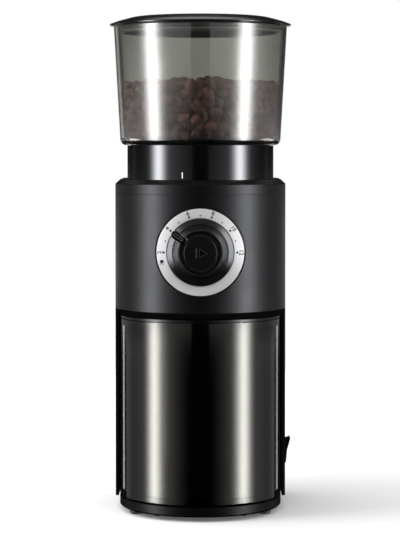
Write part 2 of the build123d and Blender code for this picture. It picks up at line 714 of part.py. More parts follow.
# ---------------------------------------------------------------- column
def make_column():
    """Rear column with its screw posts, the cradle for the container, and their screws."""
    shell = plan_prism(0, column_bottom, housing_bottom)
    shell = shell - plan_prism(SHELL_WALL, column_bottom - CUT, housing_bottom + CUT)
    shell = shell & behind(-RAIL_LIP, column_bottom - CUT, housing_bottom + CUT)
    inside = plan_prism(SHELL_WALL / 2, column_bottom - CUT, housing_bottom + CUT)
    posts = []
    for x, y in column_spots:
        post = disc(BOSS_OUTSIDE, column_bottom, housing_bottom, x, y)
        rib_x = x + math.copysign(post_inset / 2, x)
        rib = block(post_inset, POST_RIB, column_bottom, housing_bottom, rib_x, y)
        posts.append((post + rib) & inside)
    shell = all_of([shell] + posts)
    shell = shell - disc(cradle_bore, column_bottom - CUT, housing_bottom + CUT)
    cradle_room = disc(cradle_outer + SEAT_GAP, column_bottom - CUT, housing_bottom + CUT)
    cradle_back = behind(CRADLE_FRONT - SEAT_GAP, column_bottom - CUT, housing_bottom + CUT)
    shell = shell - (cradle_room & cradle_back)
    for x, y in column_spots:
        shell = shell - Pos(x, y, column_bottom) * Rot(180, 0, 0) * pilot()
        shell = shell - Pos(x, y, housing_bottom) * pilot()
    half_cut = SWITCH_LENGTH / 2 + PILOT_GAP
    cut_width = SWITCH_WIDTH + 2 * PILOT_GAP
    low = SWITCH_CENTRE - half_cut
    high = SWITCH_CENTRE + half_cut
    shell = shell - block(4 * SHELL_WALL, cut_width, low, high, BODY_RADIUS, switch_back)
    gland_hole = Cylinder(GLAND_RADIUS + PILOT_GAP, 4 * SHELL_WALL)
    shell = shell - Pos(0, body_back, GLAND_HEIGHT) * Rot(90, 0, 0) * gland_hole
    for x, z in board_screw_spots():
        face = Pos(x, body_back - SHELL_WALL + JOIN, z) * Rot(90, 0, 0)
        shell = shell + face * disc(STANDOFF_RADIUS, 0, STANDOFF_HEIGHT + JOIN)
        shell = shell - face * disc(SCREW_RADIUS + PILOT_GAP, JOIN, STANDOFF_HEIGHT + CUT)
    parts["rear_column"] = shell

    half_ring = ring(cradle_outer, cradle_bore, platform_top, housing_bottom - SEAT_GAP)
    room = plan_prism(SHELL_WALL + PILOT_GAP, platform_top - CUT, housing_bottom + CUT)
    rear = behind(CRADLE_FRONT, platform_top - CUT, housing_bottom + CUT)
    parts["container_cradle"] = half_ring & room & rear

    upward = Rot(180, 0, 0) * screw(SCREW_LENGTH + BASE_TOP_WALL)
    low_seat = column_bottom - BASE_TOP_WALL
    high_seat = housing_floor_top
    downward = screw(SCREW_LENGTH + HOUSING_FLOOR)
    parts["column_screws"] = group([Pos(x, y, low_seat) * upward for x, y in column_spots])
    parts["housing_screws"] = group([Pos(x, y, high_seat) * downward for x, y in column_spots])


def board_screw_spots():
    """Places of the power board's four screws, as x and z."""
    half = POWER_BOARD_WIDTH / 2 - BOARD_HOLE_INSET
    low = power_board_bottom + BOARD_HOLE_INSET
    high = power_board_bottom + POWER_BOARD_HEIGHT - BOARD_HOLE_INSET
    return [(-half, low), (-half, high), (half, low), (half, high)]


def make_power_board():
    """Power board on the column's standoffs, the parts on it, and its screws."""
    board_back = body_back - SHELL_WALL - STANDOFF_HEIGHT
    board_front = board_back - BOARD_THICKNESS
    board_top = power_board_bottom + POWER_BOARD_HEIGHT
    middle_y = board_back - BOARD_THICKNESS / 2
    board = block(POWER_BOARD_WIDTH, BOARD_THICKNESS, power_board_bottom, board_top, y=middle_y)
    screws = []
    for x, z in board_screw_spots():
        hole = Cylinder(SCREW_RADIUS + PILOT_GAP, 4 * BOARD_THICKNESS)
        board = board - Pos(x, board_back, z) * Rot(90, 0, 0) * hole
        screws.append(Pos(x, board_front, z) * Rot(90, 0, 0) * screw(STANDOFF_HEIGHT))
    parts["power_board"] = board
    parts["board_screws"] = group(screws)

    middle = power_board_bottom + POWER_BOARD_HEIGHT / 2
    on_board = Plane(origin=(0, board_front, middle), x_dir=(1, 0, 0), z_dir=(0, -1, 0))
    pieces = [
        block(*RELAY_SIZE, 0, COMPONENT_HEIGHT, y=RELAY_RISE),
        block(*RECTIFIER_SIZE, 0, COMPONENT_HEIGHT, *RECTIFIER_PLACE),
        block(*SUPPRESSOR_SIZE, 0, COMPONENT_HEIGHT, *SUPPRESSOR_PLACE),
    ]
    for place in CAPACITOR_PLACES:
        pieces.append(disc(CAPACITOR_RADIUS, 0, COMPONENT_HEIGHT, *place))
    parts["power_components"] = group([on_board * piece for piece in pieces])


def make_switch():
    """Rocker switch in the column's side, and the cord gland in its back."""
    face = Plane(origin=(BODY_RADIUS, switch_back, SWITCH_CENTRE), x_dir=(0, 1, 0), z_dir=(1, 0, 0))
    upright = (Align.CENTER, Align.CENTER, Align.MIN)
    hanging = (Align.CENTER, Align.CENTER, Align.MAX)
    bezel_width = SWITCH_WIDTH + 2 * BEZEL_RIM
    bezel_length = SWITCH_LENGTH + 2 * BEZEL_RIM
    bezel = Box(bezel_width, bezel_length, BEZEL_THICKNESS, align=upright)
    bezel = fillet(bezel.edges().filter_by(Axis.Z), BEZEL_CORNER)
    switch = bezel + Box(SWITCH_WIDTH, SWITCH_LENGTH, SWITCH_DEPTH, align=hanging)
    well_width = SWITCH_WIDTH - 2 * SWITCH_SIDE_WALL
    well_length = SWITCH_LENGTH - 2 * SWITCH_END_WALL
    well = Box(well_width, well_length, 3 * SWITCH_DEPTH, align=upright)
    mouth_width = SWITCH_WIDTH - SWITCH_MOUTH_GAP
    mouth_length = SWITCH_LENGTH + SWITCH_MOUTH_END
    mouth = Box(mouth_width, mouth_length, 3 * SWITCH_DEPTH, align=upright)
    switch = switch - Pos(0, 0, SWITCH_FLOOR - SWITCH_DEPTH) * well - mouth
    pivot = Pos(0, 0, -ROCKER_PIVOT_DEPTH)
    pivot_hole = Cylinder(ROCKER_PIN_RADIUS + RUNNING_GAP, SWITCH_WIDTH + 2 * ROCKER_PIN_SOCKET)
    parts["switch_body"] = face * (switch - pivot * Rot(0, 90, 0) * pivot_hole)

    blades = []
    for step in (-BLADE_PITCH, 0.0, BLADE_PITCH):
        blade = Box(*BLADE_SECTION, BLADE_LENGTH, align=hanging)
        blades.append(face * Pos(0, step, -SWITCH_DEPTH) * blade)
    parts["switch_blades"] = group(blades)

    low_half = SWITCH_LENGTH / 2 - ROCKER_END_GAP
    high_half = SWITCH_LENGTH / 2 + ROCKER_OVERHANG
    cap_half = high_half - ROCKER_CAP
    edge = ROCKER_CREST - ROCKER_EDGE
    keel_half, keel_depth = ROCKER_KEEL
    profile = make_face(Polyline((-low_half, ROCKER_SKIRT), (-high_half, edge), (-cap_half, ROCKER_CREST),
                                 (0, ROCKER_CREST - ROCKER_DIP), (cap_half, ROCKER_CREST),
                                 (high_half, edge), (low_half, ROCKER_SKIRT), (keel_half, -keel_depth),
                                 (-keel_half, -keel_depth), close=True))
    half_width = well_width / 2 - ROCKER_SIDE_GAP
    rocker = extrude(Plane.YZ * profile, half_width, both=True)
    pin = Cylinder(ROCKER_PIN_RADIUS, SWITCH_WIDTH - 2 * ROCKER_PIN_END_GAP)
    rocker = rocker + pivot * Rot(0, 90, 0) * pin
    tilt = pivot * Rot(ROCKER_TILT, 0, 0) * pivot.inverse()
    parts["power_rocker"] = face * tilt * rocker

    gland = Cylinder(GLAND_RADIUS + GLAND_COLLAR_RIM, GLAND_COLLAR, align=upright)
    gland = gland + Cylinder(GLAND_RADIUS, SHELL_WALL + GLAND_TAIL, align=hanging)
    nut_low = -SHELL_WALL - PILOT_GAP - GLAND_INNER
    gland = gland + disc(GLAND_RADIUS + GLAND_INNER_RIM, nut_low, nut_low + GLAND_INNER)
    gland = gland - Cylinder(GLAND_BORE, 8 * SHELL_WALL + GLAND_TAIL)
    wall = Plane(origin=(0, body_back, GLAND_HEIGHT), x_dir=(-1, 0, 0), z_dir=(0, 1, 0))
    parts["cord_gland"] = wall * gland


# ---------------------------------------------------------------- upper housing and top cover
def make_housing():
    """Upper housing with the dial boss, and the top cover."""
    shell = plan_prism(0, housing_bottom, cover_bottom)
    low_radius = BODY_RADIUS - HOUSING_CHAMFER_RUN
    chamfer_top = housing_bottom + HOUSING_CHAMFER_RISE
    edge = turned((low_radius, housing_bottom - CUT), (low_radius, housing_bottom),
                  (BODY_RADIUS, chamfer_top), (BODY_RADIUS + CUT, chamfer_top),
                  (BODY_RADIUS + CUT, housing_bottom - CUT))
    shell = shell - (edge & in_front(-RAIL_LIP, housing_bottom - 2 * CUT, cover_bottom))
    shell = shell + on_dial(disc(boss_radius, -boss_front, 0))
    shell = shell - plan_prism(SHELL_WALL, housing_floor_top, cover_bottom + CUT)
    shell = shell - on_dial(disc(boss_radius - BOSS_WALL, -boss_front, selector_top - JOIN))
    seat_radius = dial_plate_radius + FIT_GAP
    shell = shell - on_dial(disc(seat_radius, -DIAL_PLATE_THICKNESS - JOIN, CUT))
    shell = shell - on_dial(disc(knob_sleeve_radius + RUNNING_GAP, -boss_front, CUT))
    hole = SlotOverall(CHUTE_LENGTH + 2 * SEAT_GAP, CHUTE_DEPTH + 2 * SEAT_GAP)
    chute_hole = Pos(0, -chute_forward, housing_bottom - CUT) * hole
    shell = shell - extrude(chute_hole, HOUSING_FLOOR + 2 * CUT)
    slot_y = body_back - SHELL_WALL - WIRE_SLOT_BACK
    slot_low = housing_bottom - CUT
    slot_high = housing_floor_top + CUT
    shell = shell - block(WIRE_SLOT_LENGTH, WIRE_SLOT_WIDTH, slot_low, slot_high, y=slot_y)
    for x, y in column_spots:
        shell = shell - screw_hole(housing_bottom, housing_floor_top, x, y)
    for x, y in mount_spots:
        shell = shell - disc(SCREW_RADIUS + PILOT_GAP, housing_bottom + SEAT_GAP, slot_high, x, y)
    hook_low = cover_bottom - COVER_LIP - HOOK_DROP
    pocket_low = hook_low - HOOK_BARB - HOLE_GAP
    pocket_high = hook_low + HOOK_BARB
    pocket_depth = 2 * HOOK_BARB + 2 * HOLE_GAP
    for side in (-1, 1):
        for y in HOOK_PLACES:
            x = side * (BODY_RADIUS - SHELL_WALL)
            shell = shell - block(pocket_depth, HOOK_WIDTH + CUT, pocket_low, pocket_high, x, y)
    parts["upper_housing"] = shell

    cover = plan_prism(0, cover_bottom, body_top)
    rim = cover.edges().group_by(Axis.Z)[-1]
    top_face = cover.faces().sort_by(Axis.Z)[-1]
    cover = chamfer(rim, COVER_CHAMFER_RUN, COVER_CHAMFER_RISE, reference=top_face)
    lip_low = cover_bottom - COVER_LIP
    cover = cover + plan_prism(SHELL_WALL + SEAT_GAP, lip_low, cover_bottom + JOIN)
    hollow_inset = 2 * SHELL_WALL + SEAT_GAP + COVER_CHAMFER_RUN / 2
    cover = cover - plan_prism(hollow_inset, lip_low - CUT, body_top - SHELL_WALL)
    cover = cover - disc(neck_radius + NECK_GAP, lip_low - CUT, body_top + CUT)
    hook_face = BODY_RADIUS - SHELL_WALL - SEAT_GAP
    for side in (-1, 1):
        for y in HOOK_PLACES:
            x = side * (hook_face - HOOK_THICKNESS / 2)
            cover = cover + block(HOOK_THICKNESS, HOOK_WIDTH, hook_low - HOOK_BARB, lip_low + JOIN, x, y)
            cover = cover + Pos(side * hook_face, y, hook_low) * Box(HOOK_BARB, HOOK_WIDTH, HOOK_BARB)
    parts["top_cover"] = cover


# ---------------------------------------------------------------- grounds container
def make_container():
    """Grounds container and its lid."""
    shell = disc(container_radius, platform_top, container_top)
    shell = fillet(shell.edges().group_by(Axis.Z)[0], CONTAINER_CORNER)
    bore = container_radius - CONTAINER_WALL
    inside = disc(bore, platform_top + CONTAINER_FLOOR, container_top + CUT)
    inside = fillet(inside.edges().group_by(Axis.Z)[0], CONTAINER_INNER_CORNER)
    parts["grounds_container"] = shell - inside

    lid = disc(container_radius, container_top, container_lid_top)
    lid = chamfer(lid.edges().group_by(Axis.Z)[-1], LID_EDGE)
    skirt = bore - SEAT_GAP
    lid = lid + ring(skirt, skirt - LID_SKIRT_WALL, container_top - LID_SKIRT, container_top + JOIN)
    mouth = SlotOverall(CHUTE_LENGTH + LID_MOUTH_ROOM, CHUTE_DEPTH + LID_MOUTH_ROOM)
    mouth = Pos(0, LID_MOUTH_BACK - chute_forward, container_top - CUT) * mouth
    lid = lid - extrude(mouth, LID_PLATE + 2 * CUT)
    parts["container_lid"] = lid


# ---------------------------------------------------------------- grind chamber and chute
def make_chamber():
    """Fixed chamber that holds the burrs, with the outlet window, chute, gasket and hub bush."""
    low_bore = sweeper_radius + SWEEPER_GAP
    step_level = sleeve_bottom - SLEEVE_SEAT_GAP
    chamber = turned((0, chamber_bottom), (chamber_outer, chamber_bottom), (chamber_outer, chamber_top),
                     (chamber_high_bore, chamber_top), (chamber_high_bore, step_level),
                     (chamber_low_bore, step_level), (chamber_low_bore, carrier_ledge),
                     (low_bore, carrier_ledge), (low_bore, chamber_floor_top), (0, chamber_floor_top))
    bush_radius = SHAFT_RADIUS + BUSH_WALL
    bush_hole = bush_radius + BUSH_SEAT
    chamber = chamber - disc(bush_hole, chamber_bottom - CUT, chamber_top)
    slot_length = carrier_radius + KEY_REACH + KEY_END_GAP
    slot_width = KEY_WIDTH + 2 * KEY_SIDE_GAP
    slot_top = sleeve_bottom - KEY_SIDE_GAP
    keyway = block(slot_length, slot_width, carrier_ledge, slot_top, x=slot_length / 2)
    for slot in around(keyway, KEY_COUNT, KEY_ANGLE):
        chamber = chamber - slot
    window_top = chamber_floor_top + WINDOW_HEIGHT
    window = block(WINDOW_WIDTH, chamber_outer, chamber_floor_top, window_top, y=-chamber_outer)
    chamber = chamber - window
    ear_top = chamber_bottom + CHAMBER_EAR_HEIGHT
    for x, y in chamber_ears:
        chamber = chamber + disc(BOSS_OUTSIDE, chamber_bottom, ear_top, x, y)
        chamber = chamber - screw_hole(chamber_bottom, ear_top, x, y)
        head_room = ear_top + SCREW_HEAD_HEIGHT + CUT
        chamber = chamber - disc(SCREW_HEAD_RADIUS + SCREW_HEAD_GAP, ear_top, head_room, x, y)
    parts["grind_chamber"] = chamber
    bush_low = gearbox_top + SEAT_GAP
    parts["hub_bush"] = ring(bush_radius, SHAFT_RADIUS + RUNNING_GAP, bush_low, chamber_floor_top)

    low = housing_bottom + CHUTE_LOW_GAP
    floor = chamber_bottom + CHUTE_LOW_GAP
    hood_top = window_top + CHUTE_ROOF
    place = Pos(0, -chute_forward, low)
    chute = extrude(place * SlotOverall(CHUTE_LENGTH, CHUTE_DEPTH), hood_top - low)
    mouth_width = WINDOW_WIDTH + 2 * CHUTE_WALL
    chute = chute + block(mouth_width, chute_forward, floor, hood_top, y=-chute_forward / 2)
    bore = SlotOverall(CHUTE_LENGTH - 2 * CHUTE_WALL, CHUTE_DEPTH - 2 * CHUTE_WALL)
    chute = chute - extrude(Pos(0, 0, -CUT) * place * bore, hood_top - low - CHUTE_WALL + CUT)
    passage_y = -chute_forward / 2 - CUT
    chute = chute - block(WINDOW_WIDTH, chute_forward, chamber_floor_top, window_top, y=passage_y)
    chute = chute - disc(chamber_outer + GASKET_THICKNESS, low - CUT, hood_top + CUT)
    parts["chute"] = chute

    seal_outer = chamber_outer + GASKET_THICKNESS - FIT_GAP
    seal = ring(seal_outer, chamber_outer + FIT_GAP, floor, hood_top)
    seal = seal & block(mouth_width, chamber_outer, floor, hood_top, y=-chamber_outer)
    parts["chute_gasket"] = seal - window


# ---------------------------------------------------------------- burrs
def make_burrs():
    """Cone burr, its bolt, the shaft, the sweeper, the ring burr and its carrier."""
    bore = SHAFT_RADIUS + FIT_GAP
    edge = CONE_TIP_EDGE
    cone = turned((bore, cone_bottom), (CONE_BASE_RADIUS, cone_bottom), (CONE_BASE_RADIUS, cone_shoulder),
                  (CONE_TOP_RADIUS, cone_top - edge), (CONE_TOP_RADIUS - edge, cone_top), (bore, cone_top))
    slope = (CONE_BASE_RADIUS - CONE_TOP_RADIUS) / (cone_top - edge - cone_shoulder)
    lean = math.degrees(math.atan(slope))
    cutter = Box(*CONE_FLUTE, 3 * CONE_HEIGHT)
    flute_place = Pos(CONE_BASE_RADIUS + CONE_FLUTE_SINK, 0, cone_shoulder)
    cutter = flute_place * Rot(CONE_FLUTE_TURN, -lean, 0) * cutter
    for flute in around(cutter, CONE_FLUTES):
        cone = cone - flute
    parts["cone_burr"] = cone

    washer_radius = SHAFT_RADIUS + BOLT_WASHER_WALL
    hexagon = RegularPolygon(washer_radius - BOLT_HEAD_INSET, 6)
    washer_top = cone_top + BOLT_WASHER
    head = extrude(Pos(0, 0, washer_top - JOIN) * hexagon, BOLT_HEAD_HEIGHT)
    parts["burr_bolt"] = head + disc(washer_radius, cone_top, washer_top)
    parts["burr_shaft"] = disc(SHAFT_RADIUS, gearbox_bottom + SHAFT_BEARING_FLOOR, cone_top)

    hub_radius = SHAFT_RADIUS + SWEEPER_HUB_WALL
    sweeper = ring(sweeper_radius, bore, sweeper_bottom, sweeper_bottom + SWEEPER_PLATE)
    sweeper = sweeper + ring(hub_radius, bore, sweeper_bottom, sweeper_top)
    vane_length = sweeper_radius - hub_radius + CUT
    vane_low = sweeper_bottom + SWEEPER_PLATE - JOIN
    vane_x = (sweeper_radius + hub_radius - CUT) / 2
    vane = block(vane_length, SWEEPER_VANE, vane_low, sweeper_top - SWEEPER_VANE_DROP, x=vane_x)
    for blade in around(vane, SWEEPER_VANES):
        sweeper = sweeper + blade
    parts["sweeper"] = sweeper & disc(sweeper_radius, sweeper_bottom - CUT, sweeper_top + CUT)

    ring_bottom = carrier_bottom + RING_BURR_RISE
    ring_top = ring_bottom + RING_BURR_HEIGHT
    low_bore = CONE_BASE_RADIUS + BURR_GAP
    top_bore = low_bore + BURR_FEED_GAP - (ring_top - cone_shoulder) * slope
    burr = turned((low_bore, ring_bottom), (ring_burr_radius, ring_bottom), (ring_burr_radius, ring_top),
                  (top_bore, ring_top), (low_bore, cone_shoulder + RING_BURR_RISE))
    notch = Box(*RING_FLUTE, 3 * RING_BURR_HEIGHT)
    notch = Pos(low_bore - RING_FLUTE_SINK, 0, ring_bottom) * Rot(-RING_FLUTE_TURN, 0, 0) * notch
    for flute in around(notch, RING_FLUTES):
        burr = burr - flute
    parts["ring_burr"] = burr

    seat = ring_burr_radius + RING_SEAT_GAP
    ceiling = ring_top + RING_SEAT_GAP
    carrier = turned((seat, carrier_bottom), (carrier_radius, carrier_bottom), (carrier_radius, carrier_top),
                     (ring_burr_radius + CARRIER_LIP, carrier_top), (ring_burr_radius - CARRIER_LIP, ceiling),
                     (seat, ceiling))
    key_x = carrier_radius + (KEY_REACH - CUT) / 2
    key = block(KEY_REACH + CUT, KEY_WIDTH, carrier_bottom, carrier_bottom + KEY_HEIGHT, x=key_x)
    for lug in around(key, KEY_COUNT, KEY_ANGLE):
        carrier = carrier + lug
    parts["burr_carrier"] = carrier

    spring_radius = (sweeper_radius + SWEEPER_GAP + carrier_radius) / 2
    parts["carrier_spring"] = coil_spring(spring_radius, carrier_ledge, carrier_bottom, 1)


# ---------------------------------------------------------------- gearbox
def gearbox_plan(extra):
    """Outline round the three gears, each tip circle grown by some room."""
    lobes = Circle(burr_tip + extra)
    lobes = lobes + Pos(idler_x, idler_y) * Circle(wheel_tip + extra)
    return lobes + Pos(0, motor_distance) * Circle(pinion_tip + extra)


def ear_arm(x, y):
    """Arm that joins a mounting ear to the gearbox case."""
    middle_y = idler_y / 2
    reach = math.hypot(x, y - middle_y)
    angle = math.degrees(math.atan2(y - middle_y, x))
    width = 2 * (MOUNT_RADIUS - EAR_ARM_INSET)
    arm = block(reach, width, gearbox_bottom, gearbox_bottom + GEARBOX_PLATE, x=reach / 2)
    return Pos(0, middle_y, 0) * Rot(0, 0, angle) * arm


def make_gears():
    """The gears in mesh, and the idler's axle."""
    to_idler = math.degrees(math.atan2(idler_y, idler_x))
    small_turn = mesh_turn(BURR_GEAR_TEETH, 0.0, IDLER_PINION_TEETH, to_idler)
    to_motor = math.degrees(math.atan2(motor_distance - idler_y, -idler_x))
    pinion_turn = mesh_turn(IDLER_WHEEL_TEETH, 0.0, PINION_TEETH, to_motor)
    slow_gear_top = slow_gear_bottom + SLOW_FACE
    fast_gear_top = fast_gear_bottom + FAST_FACE

    large = gear(BURR_GEAR_TEETH, MODULE_SLOW, slow_gear_bottom, slow_gear_top)
    large = large - disc(SHAFT_RADIUS + FIT_GAP, slow_gear_bottom - CUT, slow_gear_top + CUT)
    relief_outer = MODULE_SLOW * BURR_GEAR_TEETH / 2 - GEAR_RELIEF_RIM
    relief_inner = SHAFT_RADIUS + GEAR_RELIEF_RIM
    relief_floor = slow_gear_top - GEAR_RELIEF
    parts["burr_gear"] = large - ring(relief_outer, relief_inner, relief_floor, slow_gear_top + CUT)

    small = gear(IDLER_PINION_TEETH, MODULE_SLOW, slow_gear_bottom, fast_gear_bottom + JOIN)
    wheel = gear(IDLER_WHEEL_TEETH, MODULE_FAST, fast_gear_bottom, fast_gear_top)
    idler = Rot(0, 0, small_turn) * small + wheel
    idler = idler - disc(AXLE_RADIUS + RUNNING_GAP, slow_gear_bottom - CUT, gearbox_top)
    parts["idler_gear"] = Pos(idler_x, idler_y, 0) * idler
    axle_low = gearbox_bottom + AXLE_SEAT
    axle_high = gearbox_top + GEARBOX_PLATE - AXLE_SEAT
    parts["idler_axle"] = disc(AXLE_RADIUS, axle_low, axle_high, idler_x, idler_y)

    pinion = gear(PINION_TEETH, MODULE_FAST, fast_gear_bottom, fast_gear_top)
    shaft_hole = disc(MOTOR_SHAFT_RADIUS + FIT_GAP, fast_gear_bottom - CUT, fast_gear_top + CUT)
    parts["motor_pinion"] = Pos(0, motor_distance, 0) * Rot(0, 0, pinion_turn) * (pinion - shaft_hole)


def make_gearbox():
    """Gearbox case and cover, the soft mounts it stands on, and its screws."""
    outside = gearbox_plan(gearbox_margin)
    height = gearbox_top - gearbox_bottom
    plate_top = gearbox_bottom + GEARBOX_PLATE
    case = extrude(Pos(0, 0, gearbox_bottom) * outside, height)
    room = extrude(Pos(0, 0, plate_top) * gearbox_plan(GEAR_TIP_ROOM), height)
    ears = []
    for x, y in mount_spots:
        ears.append(disc(MOUNT_RADIUS, gearbox_bottom, plate_top, x, y) + ear_arm(x, y))
    case = case - room + (all_of(ears) - room)
    for x, y in mount_spots:
        case = case - screw_hole(gearbox_bottom, plate_top, x, y)
    bearing_top = slow_gear_bottom - SEAT_GAP
    case = case + disc(SHAFT_RADIUS + SHAFT_BEARING_WALL, gearbox_bottom, bearing_top)
    case = case - disc(SHAFT_RADIUS + RUNNING_GAP, gearbox_bottom + SEAT_GAP, slow_gear_bottom)
    axle_hole = AXLE_RADIUS + AXLE_SEAT_GAP
    axle_floor = gearbox_bottom + AXLE_SEAT - JOIN
    parts["gearbox_case"] = case - disc(axle_hole, axle_floor, slow_gear_bottom, idler_x, idler_y)

    mounts = []
    bolts = []
    bolt = screw(GEARBOX_PLATE + MOUNT_HEIGHT + HOUSING_FLOOR - SCREW_END_GAP)
    waist_low = housing_floor_top + MOUNT_RIM
    waist_high = gearbox_bottom - MOUNT_RIM
    for x, y in mount_spots:
        pad = ring(MOUNT_RADIUS, SCREW_RADIUS + PILOT_GAP, housing_floor_top, gearbox_bottom, x, y)
        waist = ring(MOUNT_RADIUS + CUT, MOUNT_RADIUS - MOUNT_WAIST, waist_low, waist_high, x, y)
        mounts.append(pad - waist)
        bolts.append(Pos(x, y, plate_top) * bolt)
    parts["rubber_mounts"] = group(mounts)
    parts["mount_screws"] = group(bolts)

    cover_plan = outside + Circle(chamber_outer + CHAMBER_EAR_REACH + BOSS_OUTSIDE + SEAT_GAP)
    cover_plan = cover_plan + Pos(0, motor_distance) * Circle(MOTOR_RADIUS)
    cover = extrude(Pos(0, 0, gearbox_top) * cover_plan, GEARBOX_PLATE)
    cover = cover - disc(SHAFT_RADIUS + BUSH_WALL + BUSH_SEAT, gearbox_top - CUT, chamber_bottom + CUT)
    axle_ceiling = chamber_bottom - AXLE_SEAT + JOIN
    cover = cover - disc(axle_hole, gearbox_top - CUT, axle_ceiling, idler_x, idler_y)
    cover = cover - disc(MOTOR_COLLAR_RADIUS, gearbox_top - CUT, chamber_bottom + CUT, y=motor_distance)
    notch_back = -chute_forward + CHUTE_DEPTH / 2 + CUT
    notch = in_front(notch_back, gearbox_top - CUT, chamber_bottom + CUT)
    notch_width = CHUTE_LENGTH + CHUTE_CLEAR
    notch = notch & block(notch_width, 4 * BODY_RADIUS, gearbox_top - CUT, chamber_bottom + CUT)
    cover = cover - notch
    bolt = screw(CHAMBER_EAR_HEIGHT + GEARBOX_PLATE)
    ear_top = chamber_bottom + CHAMBER_EAR_HEIGHT
    chamber_bolts = []
    for x, y in chamber_ears:
        cover = cover - screw_hole(gearbox_top, chamber_bottom, x, y)
        chamber_bolts.append(Pos(x, y, ear_top) * bolt)
    for x, y in motor_screw_spots:
        cover = cover - screw_hole(gearbox_top, chamber_bottom, x, y + motor_distance)
    parts["gearbox_cover"] = cover
    parts["chamber_screws"] = group(chamber_bolts)


# ---------------------------------------------------------------- motor
def make_motor():
    """Motor can, end cap, magnets, armature on its shaft, and mounting screws."""
    centre = Pos(0, motor_distance, 0)
    can_top = motor_top - MOTOR_END_CAP
    can_bore = MOTOR_RADIUS - MOTOR_CAN_WALL
    shaft_bore = MOTOR_SHAFT_RADIUS + RUNNING_GAP
    floor_top = motor_bottom + MOTOR_CAN_FLOOR
    can = ring(MOTOR_RADIUS, can_bore, floor_top, can_top)
    can = can + ring(MOTOR_RADIUS, shaft_bore, motor_bottom, floor_top)
    for x, y in motor_screw_spots:
        can = can - screw_hole(motor_bottom, floor_top, x, y)
    parts["motor_can"] = centre * can
    upward = Rot(180, 0, 0) * screw(GEARBOX_PLATE + MOTOR_SCREW_BITE)
    spots = [centre * Pos(x, y, gearbox_top) for x, y in motor_screw_spots]
    parts["motor_screws"] = group([spot * upward for spot in spots])

    core_low = motor_bottom + ARMATURE_RISE
    core_high = core_low + ARMATURE_HEIGHT
    shell = can_bore - FIT_GAP
    magnets = ring(shell, shell - MAGNET_THICKNESS, core_low, core_high)
    magnets = magnets - block(MAGNET_SPLIT, 4 * MOTOR_RADIUS, motor_bottom, motor_top)
    parts["motor_magnets"] = group([centre * magnets])
    cap = disc(MOTOR_RADIUS, can_top, motor_top)
    cap = chamfer(cap.edges().group_by(Axis.Z)[-1], MOTOR_CAP_EDGE)
    cap = cap - disc(MOTOR_RADIUS - MOTOR_CAP_WALL, can_top - CUT, motor_top - MOTOR_CAP_ROOF)
    cap = cap - disc(shaft_bore, can_top - CUT, motor_top - MOTOR_CAP_SKIN)
    parts["motor_end_cap"] = centre * cap
    core = disc(ARMATURE_RADIUS, core_low, core_high)
    slot = block(*ARMATURE_SLOT, motor_bottom, motor_top, x=ARMATURE_RADIUS - ARMATURE_SLOT_SINK)
    for cut in around(slot, ARMATURE_SLOTS):
        core = core - cut
    commutator = disc(COMMUTATOR_RADIUS, core_high, can_top - COMMUTATOR_GAP)
    spindle = disc(MOTOR_SHAFT_RADIUS, fast_gear_bottom, motor_top - MOTOR_SHAFT_DROP)
    parts["motor_armature"] = centre * (core + commutator + spindle)


# ---------------------------------------------------------------- neck, hopper, lid and beans
def make_neck():
    """Neck that turns to set the grind, with the sleeve that drives the burr carrier."""
    bore = neck_radius - NECK_WALL
    sleeve_bore = carrier_radius + RUNNING_GAP
    web_top = neck_floor + NECK_WALL
    neck = turned((sleeve_bore, sleeve_bottom), (sleeve_outer, sleeve_bottom), (sleeve_outer, neck_floor),
                  (neck_radius, neck_floor), (neck_radius, neck_top), (bore, neck_top),
                  (bore, web_top), (sleeve_bore, web_top))
    slot_depth = LUG_REACH - SEAT_GAP + HOLE_GAP
    slot_low = neck_top - LUG_DROP - LUG_HEIGHT - LUG_ROOM
    slot_x = bore + (slot_depth - CUT) / 2
    slot = block(slot_depth + CUT, LUG_WIDTH + LUG_ROOM, slot_low, neck_top + CUT, x=slot_x)
    for cut in around(slot, LUG_COUNT, 60.0):
        neck = neck - cut
    parts["adjust_neck"] = neck


def make_hopper():
    """Hopper bowl with its throat and lugs."""
    skirt = neck_radius - NECK_WALL - SEAT_GAP
    skirt_bore = skirt - BOWL_WALL
    skirt_low = neck_top - SKIRT_DEPTH
    throat_outer = THROAT_RADIUS + BOWL_WALL
    low_bore = bowl_low_radius - BOWL_WALL
    bowl = turned((THROAT_RADIUS, throat_bottom), (throat_outer, throat_bottom),
                  (throat_outer, throat_top - BOWL_WALL), (skirt_bore, bowl_bottom - BOWL_FLOOR_DROP),
                  (skirt_bore, skirt_low), (skirt, skirt_low), (skirt, bowl_bottom),
                  (neck_radius + BOWL_FOOT_LIP, bowl_bottom),
                  (neck_radius + BOWL_FOOT_RUN, bowl_bottom + BOWL_FOOT_RISE),
                  (bowl_low_radius, bowl_low), (bowl_rim_radius, bowl_rim),
                  (bowl_rim_radius - BOWL_WALL, bowl_rim), (low_bore, bowl_low + BOWL_INNER_RISE),
                  (THROAT_RADIUS, throat_top))
    lug_top = neck_top - LUG_DROP
    lug_x = skirt + (LUG_REACH - LUG_SINK) / 2
    lug = block(LUG_REACH + LUG_SINK, LUG_WIDTH, lug_top - LUG_HEIGHT, lug_top, x=lug_x)
    for tab in around(lug, LUG_COUNT, 60.0):
        bowl = bowl + tab
    parts["hopper_bowl"] = bowl


